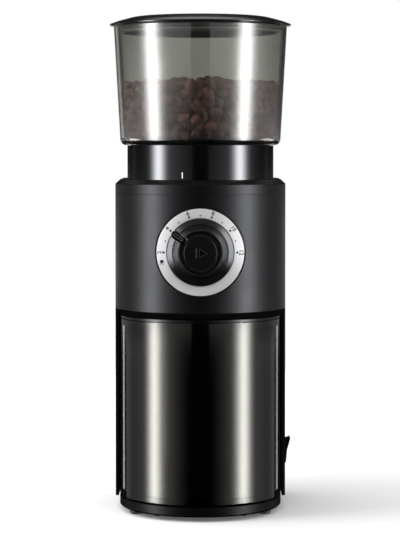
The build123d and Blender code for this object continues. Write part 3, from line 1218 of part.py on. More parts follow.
def make_beans():
    """Heap of beans in the bowl and its throat, with the outermost beans standing out of it."""
    low_bore = bowl_low_radius - BOWL_WALL
    fill_top = bowl_rim - BEAN_DROP
    fill_low = bowl_low + BOWL_INNER_RISE + BOWL_INNER_RISE
    flare = BOWL_FLARE / (bowl_rim - bowl_low)
    column = THROAT_RADIUS - BEAN_GAP
    column_low = throat_bottom + BEAN_CROWN
    low_radius = low_bore - BEAN_GAP
    heap_top = fill_top - BEAN_RELIEF
    funnel = turned((0, column_low), (column, column_low), (column, throat_top + BEAN_GAP),
                    (low_radius, fill_low), (0, fill_low))
    count = int(2 * math.pi * low_radius / BEAN_SPACING)
    plan = RegularPolygon(low_radius - BEAN_RELIEF, count, major_radius=False)
    heap = extrude(Pos(0, 0, fill_low - JOIN) * plan, heap_top - fill_low + JOIN)
    heap = chamfer(heap.edges().group_by(Axis.Z)[-1], BEAN_SHOULDER)
    half = BEAN_THICKNESS / 2
    end = (BEAN_LENGTH - BEAN_THICKNESS) / 2
    bean = Rot(0, 90, 0) * Cylinder(half, 2 * end)
    for side in (-1, 1):
        bean = bean + Pos(side * end, 0, 0) * Sphere(half)
    beans = []
    for row in range(int((heap_top - fill_low) / BEAN_ROW)):
        height = fill_low + BEAN_ROW * (row + 1) - half
        radius = low_radius + flare * (height - bowl_low) - half
        for step in range(count):
            turn = 360.0 * (step + row / 2) / count
            x, y = polar(radius, turn)
            beans.append(Pos(x, y, height) * Rot(0, 0, turn + 90.0) * bean)
    for place, radius in enumerate(BEAN_RINGS):
        ring_count = max(1, int(2 * math.pi * radius / BEAN_SPACING))
        for step in range(ring_count):
            turn = 360.0 * (step + place / 2) / ring_count
            x, y = polar(radius, turn)
            beans.append(Pos(x, y, fill_top - half) * Rot(0, 0, turn + 90.0 * (step % 2)) * bean)
    parts["coffee_beans"] = funnel + heap + beans


def make_lid():
    """Domed lid and its seal."""
    rim_low = lid_seat
    rim_top = rim_low + LID_RIM_RISE
    top = rim_low + LID_HEIGHT
    plug_low = bowl_rim - LID_PLUG_DEPTH
    plug_bore = lid_plug_radius - LID_WALL
    lid = turned((0, top - LID_WALL), (lid_dome_radius, top - LID_WALL - LID_DOME_DROP),
                 (plug_bore, rim_top - LID_ROOF_DROP), (plug_bore, plug_low),
                 (lid_plug_radius, plug_low), (lid_plug_radius, rim_low),
                 (lid_rim_radius, rim_low + LID_RIM_UNDERCUT), (lid_rim_radius, rim_top),
                 (lid_rim_radius - LID_RIM_LEAN, rim_top + LID_RIM_CURVE),
                 (lid_dome_radius, top - LID_DOME_DROP), (0, top))
    parts["hopper_lid"] = lid
    seal_low = plug_low + SEAL_MARGIN
    seal_high = bowl_rim - SEAL_MARGIN
    parts["lid_seal"] = ring(lid_plug_radius + SEAL_REACH, lid_plug_radius, seal_low, seal_high)


# ---------------------------------------------------------------- quantity dial
def make_dial():
    """Dial plate, and the knob with its ribs and pointer."""
    plate = ring(dial_plate_radius, dial_plate_bore, -DIAL_PLATE_THICKNESS, 0)
    parts["dial_plate"] = on_dial(plate)

    top = KNOB_HEIGHT
    grip_low = KNOB_FLANGE + KNOB_RIM
    rim_radius = knob_top_radius + KNOB_RIM
    dish = top - KNOB_COUNTERBORE
    edge = KNOB_EDGE
    knob = turned((knob_bore, KNOB_GAP), (knob_radius, KNOB_GAP), (knob_radius, KNOB_FLANGE - edge),
                  (knob_radius - edge, KNOB_FLANGE), (knob_grip_radius, grip_low), (rim_radius, top),
                  (knob_top_radius - CUT, top), (knob_top_radius - CUT - KNOB_RIM, dish), (knob_bore, dish))
    rise = top - KNOB_FLANGE
    rib_lean = math.degrees(math.atan2(knob_grip_radius - knob_top_radius, rise))
    depth, width = KNOB_GROOVE
    groove = Box(depth, width, 2 * rise)
    groove_x = (knob_grip_radius + rim_radius) / 2 + HOLE_GAP
    groove_z = (top + grip_low) / 2 + edge / 2
    cutter = Pos(groove_x, 0, groove_z) * Rot(0, -rib_lean, 0) * groove
    knob = knob - around(cutter, KNOB_RIBS)
    sleeve_end = selector_low + KNOB_END_GAP
    knob = knob + ring(knob_sleeve_radius, knob_bore, sleeve_end, KNOB_GAP + JOIN)
    turn = Rot(0, 0, POINTER_ANGLE)
    length = pointer_outer - pointer_inner
    middle = Pos((pointer_outer + pointer_inner) / 2, 0, 0)
    bed = block(length + 2 * JOIN, POINTER_WIDTH + 2 * JOIN, POINTER_BED, top + 2 * KNOB_FLANGE)
    parts["dial_knob"] = on_dial(knob - turn * middle * bed)
    pointer = middle * block(length, POINTER_WIDTH, POINTER_BED, top - POINTER_DROP)
    ends = pointer.edges().filter_by(Axis.Z).group_by(Axis.X)[-1]
    pointer = fillet(ends, POINTER_WIDTH / 2 - HOLE_GAP)
    pointer = fillet(pointer.edges().group_by(Axis.Z)[-1], POINTER_EDGE)
    parts["knob_pointer"] = on_dial(turn * pointer)


def make_button():
    """Start button with its guide, spring and contact, the selector and the control board."""
    guide_bore = BUTTON_RADIUS + RUNNING_GAP
    guide_top = KNOB_HEIGHT - GUIDE_DROP
    flange_top = selector_low + GUIDE_FLANGE
    guide = ring(guide_outer, guide_bore, selector_low, guide_top)
    guide = guide + ring(selector_radius, guide_bore, selector_low, flange_top)
    groove_outer = knob_sleeve_radius + SEAT_GAP
    groove_floor = selector_low + GUIDE_FLANGE / 2
    parts["button_guide"] = on_dial(guide - ring(groove_outer, guide_outer, groove_floor, flange_top))
    body = ring(selector_radius, knob_sleeve_radius + RUNNING_GAP, flange_top, selector_top - SEAT_GAP)
    parts["rotary_selector"] = on_dial(body)

    hanging = (Align.CENTER, Align.CENTER, Align.MAX)
    board = Box(CONTROL_BOARD_WIDTH, CONTROL_BOARD_HEIGHT, BOARD_THICKNESS, align=hanging)
    parts["control_board"] = on_dial(Pos(0, 0, board_face) * board)
    contact = block(CONTACT_SIZE, CONTACT_SIZE, 0, CONTACT_HEIGHT)
    contact = contact + disc(CONTACT_TIP_RADIUS, CONTACT_HEIGHT - JOIN, CONTACT_TIP_HEIGHT)
    parts["start_contact"] = on_dial(Pos(0, 0, board_face) * contact)

    stem_end = board_face + CONTACT_TIP_HEIGHT + BUTTON_TRAVEL + BUTTON_END_PLAY
    cap_low = BUTTON_HEIGHT - BUTTON_CAP
    ceiling = BUTTON_HEIGHT - BUTTON_CAP_WALL
    button = disc(BUTTON_RADIUS, cap_low, BUTTON_HEIGHT)
    button = fillet(button.edges().group_by(Axis.Z)[-1], BUTTON_EDGE)
    button = button - disc(BUTTON_RADIUS - BUTTON_CAP_WALL, cap_low - CUT, ceiling)
    button = button + disc(BUTTON_STEM, stem_end, ceiling + JOIN)
    sunk = BUTTON_HEIGHT - SYMBOL_DEPTH
    bar = block(SYMBOL_BAR_WIDTH, 2 * SYMBOL_HALF, sunk, BUTTON_HEIGHT + CUT, x=-SYMBOL_BAR_PLACE)
    arrow = make_face(Polyline((-SYMBOL_ARROW_BACK, SYMBOL_HALF), (-SYMBOL_ARROW_BACK, -SYMBOL_HALF),
                               (SYMBOL_ARROW_TIP, 0), close=True))
    arrow = extrude(Pos(0, 0, sunk) * arrow, SYMBOL_DEPTH + CUT)
    parts["start_button"] = on_dial(button - bar - arrow)
    spring_high = ceiling - JOIN
    spring = coil_spring(BUTTON_SPRING_RADIUS, board_face + JOIN, spring_high, BUTTON_SPRING_TURNS)
    parts["button_spring"] = on_dial(spring)


# ---------------------------------------------------------------- interlock switches
def make_interlocks():
    """Two small switches, one behind the container and one beside the neck."""
    length, depth, height = INTERLOCK_SIZE
    plunger = Box(INTERLOCK_PLUNGER, INTERLOCK_PLUNGER, INTERLOCK_PLUNGER)
    piece = Box(length, depth, height) + Pos(INTERLOCK_PLUNGER_PLACE, 0, height / 2) * plunger
    low_y = body_back - INTERLOCK_LOW_BACK
    high_x = BODY_RADIUS - INTERLOCK_HIGH_SIDE
    high_y = body_back - INTERLOCK_HIGH_BACK
    low = Pos(-INTERLOCK_LOW_SIDE, low_y, housing_bottom - INTERLOCK_LOW_DROP) * piece
    high = Pos(-high_x, high_y, neck_floor - INTERLOCK_HIGH_DROP) * piece
    parts["interlock_switches"] = group([low, high])


# ---------------------------------------------------------------- run
def write_parts():
    """Write every node to its own STEP file."""
    os.makedirs("parts", exist_ok=True)
    for name, shape in parts.items():
        export_step(shape, f"parts/{name}.step")


make_base()
make_column()
make_power_board()
make_switch()
make_housing()
make_container()
make_chamber()
make_burrs()
make_gears()
make_gearbox()
make_motor()
make_neck()
make_hopper()
make_beans()
make_lid()
make_dial()
make_button()
make_interlocks()
write_parts()
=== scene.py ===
"""Looks of the burr coffee grinder: finishes, turned shells, dial, beans, floor, light and camera."""

from __future__ import annotations

import json
import logging
import math
from dataclasses import dataclass
from enum import Enum
from typing import Iterable, Sequence

import bmesh
import bpy
import numpy as np
from mathutils import Euler, Matrix, Vector

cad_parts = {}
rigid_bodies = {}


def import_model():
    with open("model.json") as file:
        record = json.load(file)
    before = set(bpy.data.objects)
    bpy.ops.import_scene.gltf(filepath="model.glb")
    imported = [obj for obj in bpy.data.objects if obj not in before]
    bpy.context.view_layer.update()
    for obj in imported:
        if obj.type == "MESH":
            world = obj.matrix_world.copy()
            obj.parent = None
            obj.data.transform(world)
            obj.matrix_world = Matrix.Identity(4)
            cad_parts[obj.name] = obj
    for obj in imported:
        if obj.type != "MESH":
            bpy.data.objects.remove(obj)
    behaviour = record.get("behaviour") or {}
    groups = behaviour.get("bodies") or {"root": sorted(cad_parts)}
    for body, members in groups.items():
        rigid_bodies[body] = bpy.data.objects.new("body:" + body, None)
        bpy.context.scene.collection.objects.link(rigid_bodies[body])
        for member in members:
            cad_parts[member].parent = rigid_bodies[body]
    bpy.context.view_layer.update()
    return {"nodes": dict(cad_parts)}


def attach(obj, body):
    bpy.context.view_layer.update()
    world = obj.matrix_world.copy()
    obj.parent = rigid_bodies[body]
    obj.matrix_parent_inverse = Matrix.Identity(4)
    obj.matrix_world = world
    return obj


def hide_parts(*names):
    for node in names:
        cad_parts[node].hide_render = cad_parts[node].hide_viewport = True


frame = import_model()
MM = 0.001
log = logging.getLogger("grinder")

Socket = bpy.types.NodeSocket
Piece = bpy.types.Object
Mesh = bmesh.types.BMesh
Point = tuple[float, float]
Colour = tuple[float, float, float]
Levels = tuple[Point, ...]
BLACK: Colour = (0.0012, 0.0012, 0.0014)


class Edge(Enum):
    """How a modelled piece's edges are shaded, as the angle in degrees past which they stay sharp."""

    SOFT = 50.0
    CRISP = 28.0


# ---------------------------------------------------------------- node building
class Graph:
    """A shader or geometry node tree that is wired up in few words."""

    def __init__(self, tree: bpy.types.NodeTree) -> None:
        """Start on an empty tree.

        Args:
            tree: The node tree to fill; what it holds is cleared.
        """
        self.tree = tree
        tree.nodes.clear()

    def add(self, kind: str, inputs: dict | None = None, **settings: object) -> bpy.types.Node:
        """Add a node, set its properties and its inputs.

        Args:
            kind: The node's type name.
            inputs: Values or output sockets for its inputs, by name or by index.
            **settings: Properties of the node itself.

        Returns:
            The new node.
        """
        node = self.tree.nodes.new(kind)
        for name, value in settings.items():
            setattr(node, name, value)
        for key, value in (inputs or {}).items():
            socket = node.inputs[key]
            if isinstance(value, Socket):
                self.tree.links.new(value, socket)
            else:
                socket.default_value = value
        return node

    def math(self, operation: str, *values: object) -> Socket:
        """Add a math node.

        Args:
            operation: The operation's name.
            *values: Its values or sockets, up to three.

        Returns:
            Its output socket.
        """
        return self.add("ShaderNodeMath", dict(enumerate(values)), operation=operation).outputs[0]

    def span(self, value: Socket, low: float, high: float, to_low: float = 0.0,
             to_high: float = 1.0) -> Socket:
        """Map a stretch of a value onto another one, held at its ends.

        Args:
            value: The socket to map.
            low: Where its stretch starts.
            high: Where it ends.
            to_low: Result at the start.
            to_high: Result at the end.

        Returns:
            The mapped socket.
        """
        return self.add("ShaderNodeMapRange", {0: value, 1: low, 2: high, 3: to_low, 4: to_high}).outputs[0]

    def mix(self, factor: Socket, first: object, second: object) -> Socket:
        """The first value at factor 0, the second at factor 1."""
        return self.add("ShaderNodeMix", {0: factor, 2: first, 3: second}).outputs[0]

    def hump(self, value: Socket, middle: float, width: float) -> Socket:
        """A smooth hump of height 1, for a soft-edged light.

        Args:
            value: The socket that it runs along.
            middle: Where it peaks.
            width: How far to the side it has fallen to 1/e.

        Returns:
            The hump's socket.
        """
        apart = self.math("DIVIDE", self.math("SUBTRACT", value, middle), width)
        return self.math("EXPONENT", self.math("MULTIPLY", self.math("MULTIPLY", apart, apart), -1.0))

    def ramp(self, factor: Socket, stops: Iterable[tuple[float, object]]) -> Socket:
        """Add a colour ramp.

        Args:
            factor: The socket that drives it.
            stops: Rising positions from 0 to 1 with a grey level or a colour each.

        Returns:
            The colour output socket.
        """
        node = self.add("ShaderNodeValToRGB", {0: factor})
        points = node.color_ramp.elements
        stops = list(stops)
        while len(points) < len(stops):
            points.new(0.5)
        for point, (place, level) in zip(points, stops):
            point.position = place
            colour = (level, level, level) if isinstance(level, (int, float)) else level
            point.color = (*colour, 1.0)
        return node.outputs["Color"]

    def relief(self, height: Socket, strength: float, depth: float) -> Socket:
        """A bumped normal.

        Args:
            height: The socket that gives the relief.
            strength: How strongly it counts.
            depth: Its depth in millimetres.

        Returns:
            The normal socket.
        """
        bump = self.add("ShaderNodeBump", {"Height": height, "Strength": strength, "Distance": depth * MM})
        return bump.outputs[0]

    def principled(self, inputs: dict) -> Socket:
        """A principled shader with these inputs."""
        return self.add("ShaderNodeBsdfPrincipled", inputs).outputs[0]

    def object_noise(self, grain: float, detail: float = 2.0,
                     stretch: Sequence[float] = (1, 1, 1)) -> Socket:
        """Noise on Object coordinates.

        Args:
            grain: Size of one grain in millimetres.
            detail: Octaves of the noise.
            stretch: Scale along each axis.

        Returns:
            The noise value socket, around 0.5.
        """
        place = self.add("ShaderNodeTexCoord").outputs["Object"]
        mapped = self.add("ShaderNodeMapping", {"Vector": place, "Scale": tuple(stretch)}).outputs[0]
        scale = 1.0 / (grain * MM)
        noise = self.add("ShaderNodeTexNoise", {"Vector": mapped, "Scale": scale, "Detail": detail})
        return noise.outputs["Fac"]

    def varied(self, noise: Socket, low: float, high: float) -> Socket:
        """Map the middle part of a noise, where most of it lies, onto a range."""
        return self.span(noise, 0.3, 0.7, low, high)

    def shaded(self, colour: Colour, noise: Socket, spread: float) -> Socket:
        """A colour that grows a little lighter and darker with a noise.

        Args:
            colour: The middle colour.
            noise: The noise socket.
            spread: Share by which it may differ either way.

        Returns:
            The colour socket.
        """
        low, high = (tuple(part * share for part in colour) for share in (1 - spread, 1 + spread))
        return self.ramp(noise, [(0.3, low), (0.7, high)])


class Finish:
    """What every finish shares: it is made once, on first use, and then handed out."""

    made: dict[str, bpy.types.Material] = {}
    name: str

    def material(self) -> bpy.types.Material:
        """The finish's material, made on first use.

        Returns:
            The material, the same one each time.
        """
        if self.name not in Finish.made:
            material = bpy.data.materials.new(self.name)
            material.use_nodes = True
            graph = Graph(material.node_tree)
            graph.add("ShaderNodeOutputMaterial", {"Surface": self.surface(graph)})
            Finish.made[self.name] = material
        return Finish.made[self.name]

    def surface(self, graph: Graph) -> Socket:
        """Build the shader; each finish has its own.

        Args:
            graph: The material's tree.

        Returns:
            The shader socket to show.
        """
        raise NotImplementedError


@dataclass(frozen=True)
class MouldedPlastic(Finish):
    """Opaque moulded plastic with a fine spark-eroded grain."""

    name: str
    colour: Colour
    roughness: float
    grain: float = 0.35
    depth: float = 0.03
    spread: float = 0.12
    shine: float = 0.5
    coat: float = 0.0
    glint: Colour = (0.93, 0.95, 1.0)

    def surface(self, graph: Graph) -> Socket:
        """Grained plastic.

        Args:
            graph: The material's tree.

        Returns:
            The shader socket to show.
        """
        broad = graph.object_noise(18.0)
        return graph.principled({
            "Base Color": graph.shaded(self.colour, broad, self.spread),
            "Roughness": graph.varied(broad, self.roughness * 0.94, self.roughness * 1.06),
            "Normal": graph.relief(graph.object_noise(self.grain, 3.0), 0.35, self.depth),
            "IOR": 1.5, "Specular IOR Level": self.shine, "Specular Tint": (*self.glint, 1.0),
            "Coat Weight": self.coat, "Coat Roughness": 0.1})


@dataclass(frozen=True)
class SmokedPlastic(Finish):
    """Tinted see-through plastic, hazy from handling where it has a haze; light passes it for shadows."""

    name: str
    tint: Colour
    shadow: float
    haze: float = 0.0
    glint: Colour = (1.0, 1.0, 1.0)

    def surface(self, graph: Graph) -> Socket:
        """Clear tinted shell with a faint moulded waviness.

        Args:
            graph: The material's tree.

        Returns:
            The shader socket to show.
        """
        wave = graph.object_noise(45.0, 1.0)
        glass = graph.principled({
            "Base Color": graph.shaded(self.tint, wave, 0.03), "Roughness": 0.0, "IOR": 1.49,
            "Transmission Weight": 1.0, "Normal": graph.relief(wave, 0.05, 0.02),
            "Coat Weight": self.haze, "Coat Roughness": 0.27, "Coat IOR": 1.4,
            "Specular Tint": (*self.glint, 1.0)})
        level = (self.shadow, self.shadow, self.shadow, 1.0)
        through = graph.add("ShaderNodeBsdfTransparent", {"Color": level})
        ray = graph.add("ShaderNodeLightPath").outputs["Is Shadow Ray"]
        return graph.add("ShaderNodeMixShader", {0: ray, 1: glass, 2: through.outputs[0]}).outputs[0]


@dataclass(frozen=True)
class WorkedMetal(Finish):
    """Turned, stamped or cast metal with fine tool marks and slight staining."""

    name: str
    colour: Colour
    roughness: float
    mark: float = 0.25
    stretch: tuple[float, float, float] = (1.0, 1.0, 6.0)

    def surface(self, graph: Graph) -> Socket:
        """Metal with tool marks.

        Args:
            graph: The material's tree.

        Returns:
            The shader socket to show.
        """
        stain = graph.object_noise(9.0)
        marks = graph.object_noise(self.mark, 2.0, self.stretch)
        return graph.principled({
            "Base Color": graph.shaded(self.colour, stain, 0.08), "Metallic": 1.0,
            "Roughness": graph.varied(stain, self.roughness * 0.85, self.roughness * 1.2),
            "Normal": graph.relief(marks, 0.25, 0.015)})


@dataclass(frozen=True)
class BrushedDial(Finish):
    """Aluminium spun so that its brushing runs round the ring."""

    name: str
    colour: Colour = (0.94, 0.94, 0.95)
    roughness: float = 0.52
    lines_across: float = 95.0

    def surface(self, graph: Graph) -> Socket:
        """Ring-brushed aluminium on the piece's own UV map.

        Args:
            graph: The material's tree.

        Returns:
            The shader socket to show.
        """
        place = graph.add("ShaderNodeUVMap", uv_map="ring").outputs[0]
        scale = (3.0, self.lines_across, 1.0)
        mapped = graph.add("ShaderNodeMapping", {"Vector": place, "Scale": scale}).outputs[0]
        noise = graph.add("ShaderNodeTexNoise", {"Vector": mapped, "Scale": 1.0, "Detail": 3.0})
        lines = noise.outputs["Fac"]
        tangent = graph.add("ShaderNodeTangent", direction_type="UV_MAP", uv_map="ring").outputs[0]
        return graph.principled({
            "Base Color": graph.shaded(self.colour, lines, 0.05), "Metallic": 0.65,
            "Roughness": graph.varied(lines, self.roughness * 0.9, self.roughness * 1.1),
            "Anisotropic": 0.75, "Anisotropic Rotation": 0.25, "Tangent": tangent,
            "Normal": graph.relief(lines, 0.12, 0.01)})


@dataclass(frozen=True)
class SoftRubber(Finish):
    """Rubber or silicone, dull with a dusty bloom."""

    name: str
    colour: Colour
    roughness: float = 0.62

    def surface(self, graph: Graph) -> Socket:
        """Dull elastic skin.

        Args:
            graph: The material's tree.

        Returns:
            The shader socket to show.
        """
        bloom = graph.object_noise(6.0)
        return graph.principled({
            "Base Color": graph.shaded(self.colour, bloom, 0.2),
            "Roughness": graph.varied(bloom, self.roughness * 0.9, self.roughness * 1.1),
            "Normal": graph.relief(graph.object_noise(0.5, 3.0), 0.3, 0.04),
            "IOR": 1.45, "Sheen Weight": 0.08})


@dataclass(frozen=True)
class CircuitBoard(Finish):
    """Green solder mask over copper tracks."""

    name: str
    mask: Colour = (0.012, 0.075, 0.03)
    track: Colour = (0.03, 0.14, 0.055)

    def surface(self, graph: Graph) -> Socket:
        """Solder mask with tracks under it.

        Args:
            graph: The material's tree.

        Returns:
            The shader socket to show.
        """
        place = graph.add("ShaderNodeTexCoord").outputs["Object"]
        tracks = graph.add("ShaderNodeTexBrick", {
            "Vector": place, "Scale": 160.0, "Mortar Size": 0.012, "Color1": (0, 0, 0, 1),
            "Color2": (0.15, 0.15, 0.15, 1), "Mortar": (1, 1, 1, 1)}).outputs["Color"]
        return graph.principled({
            "Base Color": graph.ramp(tracks, [(0.0, self.mask), (1.0, self.track)]),
            "Roughness": graph.varied(graph.object_noise(3.0), 0.28, 0.4),
            "Normal": graph.relief(tracks, 0.4, 0.04)})


@dataclass(frozen=True)
class RoastedBean(Finish):
    """Roasted coffee bean: oily brown skin, its tone set bean by bean."""

    name: str
    dark: Colour = (0.055, 0.024, 0.021)
    light: Colour = (0.320, 0.150, 0.118)

    def surface(self, graph: Graph) -> Socket:
        """Bean skin.

        Args:
            graph: The material's tree.

        Returns:
            The shader socket to show.
        """
        tone = graph.add("ShaderNodeAttribute", attribute_name="tone").outputs["Fac"]
        mottle = graph.object_noise(1.6, 3.0)
        mixed = graph.math("MULTIPLY_ADD", mottle, 0.35, graph.math("MULTIPLY", tone, 0.75))
        return graph.principled({
            "Base Color": graph.ramp(mixed, [(0.05, self.dark), (0.95, self.light)]),
            "Roughness": graph.varied(mottle, 0.32, 0.5),
            "Normal": graph.relief(graph.object_noise(0.55), 0.5, 0.09),
            "Coat Weight": 0.25, "Coat Roughness": 0.25})


@dataclass(frozen=True)
class PrintedInk(Finish):
    """Pad-printed ink, slightly uneven in cover; the same flat finish also carries the painted highlights on
    the pointer and the start sign.
    """

    name: str
    colour: Colour
    shine: float = 0.5

    def surface(self, graph: Graph) -> Socket:
        """Flat ink colour, for print and for painted highlights.

        Args:
            graph: The material's tree.

        Returns:
            The shader socket to show.
        """
        cover = graph.object_noise(0.3)
        return graph.principled({
            "Base Color": graph.shaded(self.colour, cover, 0.1),
            "Roughness": graph.varied(cover, 0.45, 0.6), "Specular IOR Level": self.shine})


@dataclass(frozen=True)
class PalePaper(Finish):
    """The studio's floor: pale paper that what looks at it sees a little brighter with distance."""

    name: str
    tone: float = 0.65
    near: Point = (0.25, 0.08)
    far: Point = (0.7, 0.4)

    def surface(self, graph: Graph) -> Socket:
        """Paper, with the glow at two distances in metres.

        Args:
            graph: The material's tree.

        Returns:
            The shader socket to show.
        """
        grain = graph.object_noise(400.0, 1.0)
        colour = graph.shaded((self.tone, self.tone, self.tone), grain, 0.005)
        paper = graph.add("ShaderNodeBsdfDiffuse", {"Color": colour}).outputs[0]
        place = graph.add("ShaderNodeTexCoord").outputs["Object"]
        apart = graph.add("ShaderNodeVectorMath", {0: place}, operation="LENGTH").outputs["Value"]
        spread = graph.span(apart, self.near[0], self.far[0], self.near[1], self.far[1])
        glow = graph.add("ShaderNodeEmission", {"Color": (1, 1, 1, 1), "Strength": spread}).outputs[0]
        lit = graph.add("ShaderNodeAddShader", {0: paper, 1: glow}).outputs[0]
        path = graph.add("ShaderNodeLightPath").outputs
        direct = graph.math("MAXIMUM", path["Is Camera Ray"],
                            graph.math("MAXIMUM", path["Is Glossy Ray"], path["Is Transmission Ray"]))
        return graph.add("ShaderNodeMixShader", {0: direct, 1: paper, 2: lit}).outputs[0]


SHELL = MouldedPlastic("shell_plastic", BLACK, 0.36, shine=0.25)
BASE = MouldedPlastic("base_plastic", BLACK, 0.33, shine=0.10)
GLOSS = MouldedPlastic("gloss_plastic", BLACK, 0.06, grain=30.0, depth=0.02, spread=0.05, shine=0.65)
KNOB = MouldedPlastic("knob_plastic", (0.0024, 0.0024, 0.0027), 0.26, grain=0.25, depth=0.006, shine=0.42)
LID_BLACK = MouldedPlastic("container_lid_plastic", BLACK, 0.24, depth=0.015, shine=0.3)
INNER = MouldedPlastic("inner_plastic", (0.11, 0.112, 0.118), 0.5, grain=0.5, depth=0.05)
COMPONENT = MouldedPlastic("component_plastic", (0.012, 0.012, 0.014), 0.42)
SMOKED = SmokedPlastic("smoked_plastic", (0.43, 0.43, 0.40), 0.8, haze=1.0)
SMOKED_LID = SmokedPlastic("smoked_lid_plastic", (0.03, 0.03, 0.03), 0.35)
SMOKED_DARK = SmokedPlastic("smoked_container_plastic", (0.30, 0.295, 0.27), 0.35, glint=(1.0, 0.985, 0.93))
SILICONE = SoftRubber("seal_silicone", (0.05, 0.046, 0.04), 0.45)
# Painted highlight: the ribs are the band's silicone toned lighter for the light they catch, and the pale bead
# paints the light along the band's lower edge.
SEAL_RIB_SILICONE_AND_HIGHLIGHT = SoftRubber("seal_rib_silicone_painted_highlight", (0.22, 0.20, 0.17), 0.4)
SEAL_PAINTED_HIGHLIGHT = SoftRubber("seal_edge_painted_highlight", (0.55, 0.54, 0.50), 0.3)
RUBBER = SoftRubber("black_rubber", (0.010, 0.010, 0.011))
DIAL = BrushedDial("brushed_dial")
BURR_STEEL = WorkedMetal("burr_steel", (0.42, 0.43, 0.45), 0.30)
SCREW_STEEL = WorkedMetal("plated_steel", (0.60, 0.60, 0.59), 0.26)
MOTOR_STEEL = WorkedMetal("drawn_steel", (0.46, 0.47, 0.48), 0.34, mark=0.6)
BRONZE = WorkedMetal("sintered_bronze", (0.50, 0.33, 0.16), 0.42, mark=0.12, stretch=(1.0, 1.0, 1.0))
BRASS = WorkedMetal("contact_brass_metal", (0.72, 0.53, 0.24), 0.25)
MAGNET = MouldedPlastic("ferrite", (0.035, 0.036, 0.04), 0.6, grain=0.2, depth=0.05)
NYLON = MouldedPlastic("gear_nylon_plastic", (0.62, 0.60, 0.53), 0.38, depth=0.015, coat=0.1)
BOARD = CircuitBoard("solder_mask")
BEAN = RoastedBean("roasted_bean_skin")
WHITE_INK = PrintedInk("white_ink", (0.78, 0.78, 0.78))
BLACK_INK = PrintedInk("black_ink", (0.006, 0.006, 0.006), 0.2)
# Painted highlight: the grey of the rim on the pointer bar, standing for the light along its slot's edge.
POINTER_PAINTED_HIGHLIGHT = PrintedInk("pointer_painted_highlight_grey", (0.07, 0.07, 0.074))
# Painted highlight: the lighter grey of the start sign's bar and triangle outline, for the light on their
# edges.
SIGN_PAINTED_HIGHLIGHT_GREY = PrintedInk("sign_painted_highlight_grey", (0.016, 0.016, 0.018), 0.3)
PAPER = PalePaper("floor_white")

SLOT_FINISH: dict[str, Finish] = {
    "housing_black": SHELL, "base_black": BASE, "gloss_black": GLOSS, "lid_black": LID_BLACK,
    "smoked_clear": SMOKED, "smoked_lid": SMOKED_LID, "clear_silicone": SILICONE,
    "rubber_black": RUBBER, "dial_silver": DIAL, "knob_black": KNOB, "burr_steel": BURR_STEEL,
    "screw_steel": SCREW_STEEL, "gear_nylon": NYLON, "bronze": BRONZE, "motor_steel": MOTOR_STEEL,
    "magnet_grey": MAGNET, "inner_grey": INNER, "board_green": BOARD, "component_dark": COMPONENT,
    "contact_brass": BRASS, "roasted_bean": BEAN}


# ---------------------------------------------------------------- mesh building
@dataclass(frozen=True)
class Corner:
    """A corner of an outline, in millimetres, and how far it is rounded."""

    out: float
    up: float
    rounding: float = 0.0

    def spot(self) -> Vector:
        """Where it is."""
        return Vector((self.out, self.up))

    def spares(self) -> float:
        """Share of the run up to it that its neighbour's rounding may take."""
        return 0.48 if self.rounding > 0.5 else 0.9


def rounded(corners: Sequence[Corner], steps: int) -> list[Point]:
    """Round the corners of a closed outline.

    Args:
        corners: The corners in order.
        steps: Runs that each rounding is made of.

    Returns:
        The outline's points in millimetres.
    """
    points: list[Point] = []
    for index, corner in enumerate(corners):
        last, following = corners[index - 1], corners[(index + 1) % len(corners)]
        here = corner.spot()
        before = last.spot() - here
        after = following.spot() - here
        if corner.rounding <= 0 or before.length < 1e-6 or after.length < 1e-6:
            points.append((corner.out, corner.up))
            continue
        half = before.angle(after) / 2
        room = min(before.length * last.spares(), after.length * following.spares())
        reach = min(corner.rounding / math.tan(half), room)
        bisector = (before.normalized() + after.normalized()).normalized()
        centre = here + bisector * (reach * math.tan(half) / math.sin(half))
        start = here + before.normalized() * reach - centre
        sweep = start.angle_signed(here + after.normalized() * reach - centre)
        for step in range(steps + 1):
            spoke = Matrix.Rotation(-sweep * step / steps, 2) @ start
            points.append(tuple(centre + spoke))
    return points


def ring_section(inner: float, outer: float, low: float, high: float, rounding: float) -> list[Corner]:
    """The section of a plain ring, all four corners rounded alike."""
    return [Corner(out, up, rounding) for out, up in ((inner, low), (outer, low), (outer, high), (inner, high))]


def turned_mesh(outline: Sequence[Point], segments: int, ring_uv: bool = False) -> Mesh:
    """Turn a closed outline about the Z axis.

    Args:
        outline: Radius and height points in millimetres; radius 0 closes a pole.
        segments: Steps round the axis.
        ring_uv: Lay a UV map round the ring, turn along U and outline along V.

    Returns:
        The mesh, with its faces outwards.
    """
    mesh = bmesh.new()
    rings = []
    for radius, height in outline:
        if radius < 1e-6:
            rings.append([mesh.verts.new((0, 0, height * MM))] * segments)
            continue
        angles = (2 * math.pi * step / segments for step in range(segments))
        rings.append([mesh.verts.new((radius * MM * math.cos(a), radius * MM * math.sin(a), height * MM))
                      for a in angles])
    layer = mesh.loops.layers.uv.new("ring") if ring_uv else None
    for index, lower in enumerate(rings):
        beside = (index + 1) % len(rings)
        upper = rings[beside]
        for step in range(segments):
            beyond = (step + 1) % segments
            sole = list(dict.fromkeys((lower[step], lower[beyond], upper[beyond], upper[step])))
            if len(sole) < 3:
                continue
            face = mesh.faces.new(sole)
            for loop in face.loops if ring_uv else ():
                at_end = loop.vert in (lower[beyond], upper[beyond])
                run = outline[beside if loop.vert in (upper[step], upper[beyond]) else index]
                loop[layer].uv = ((step + at_end) / segments, (run[0] + run[1]) / 10.0)
    bmesh.ops.recalc_face_normals(mesh, faces=mesh.faces)
    return mesh


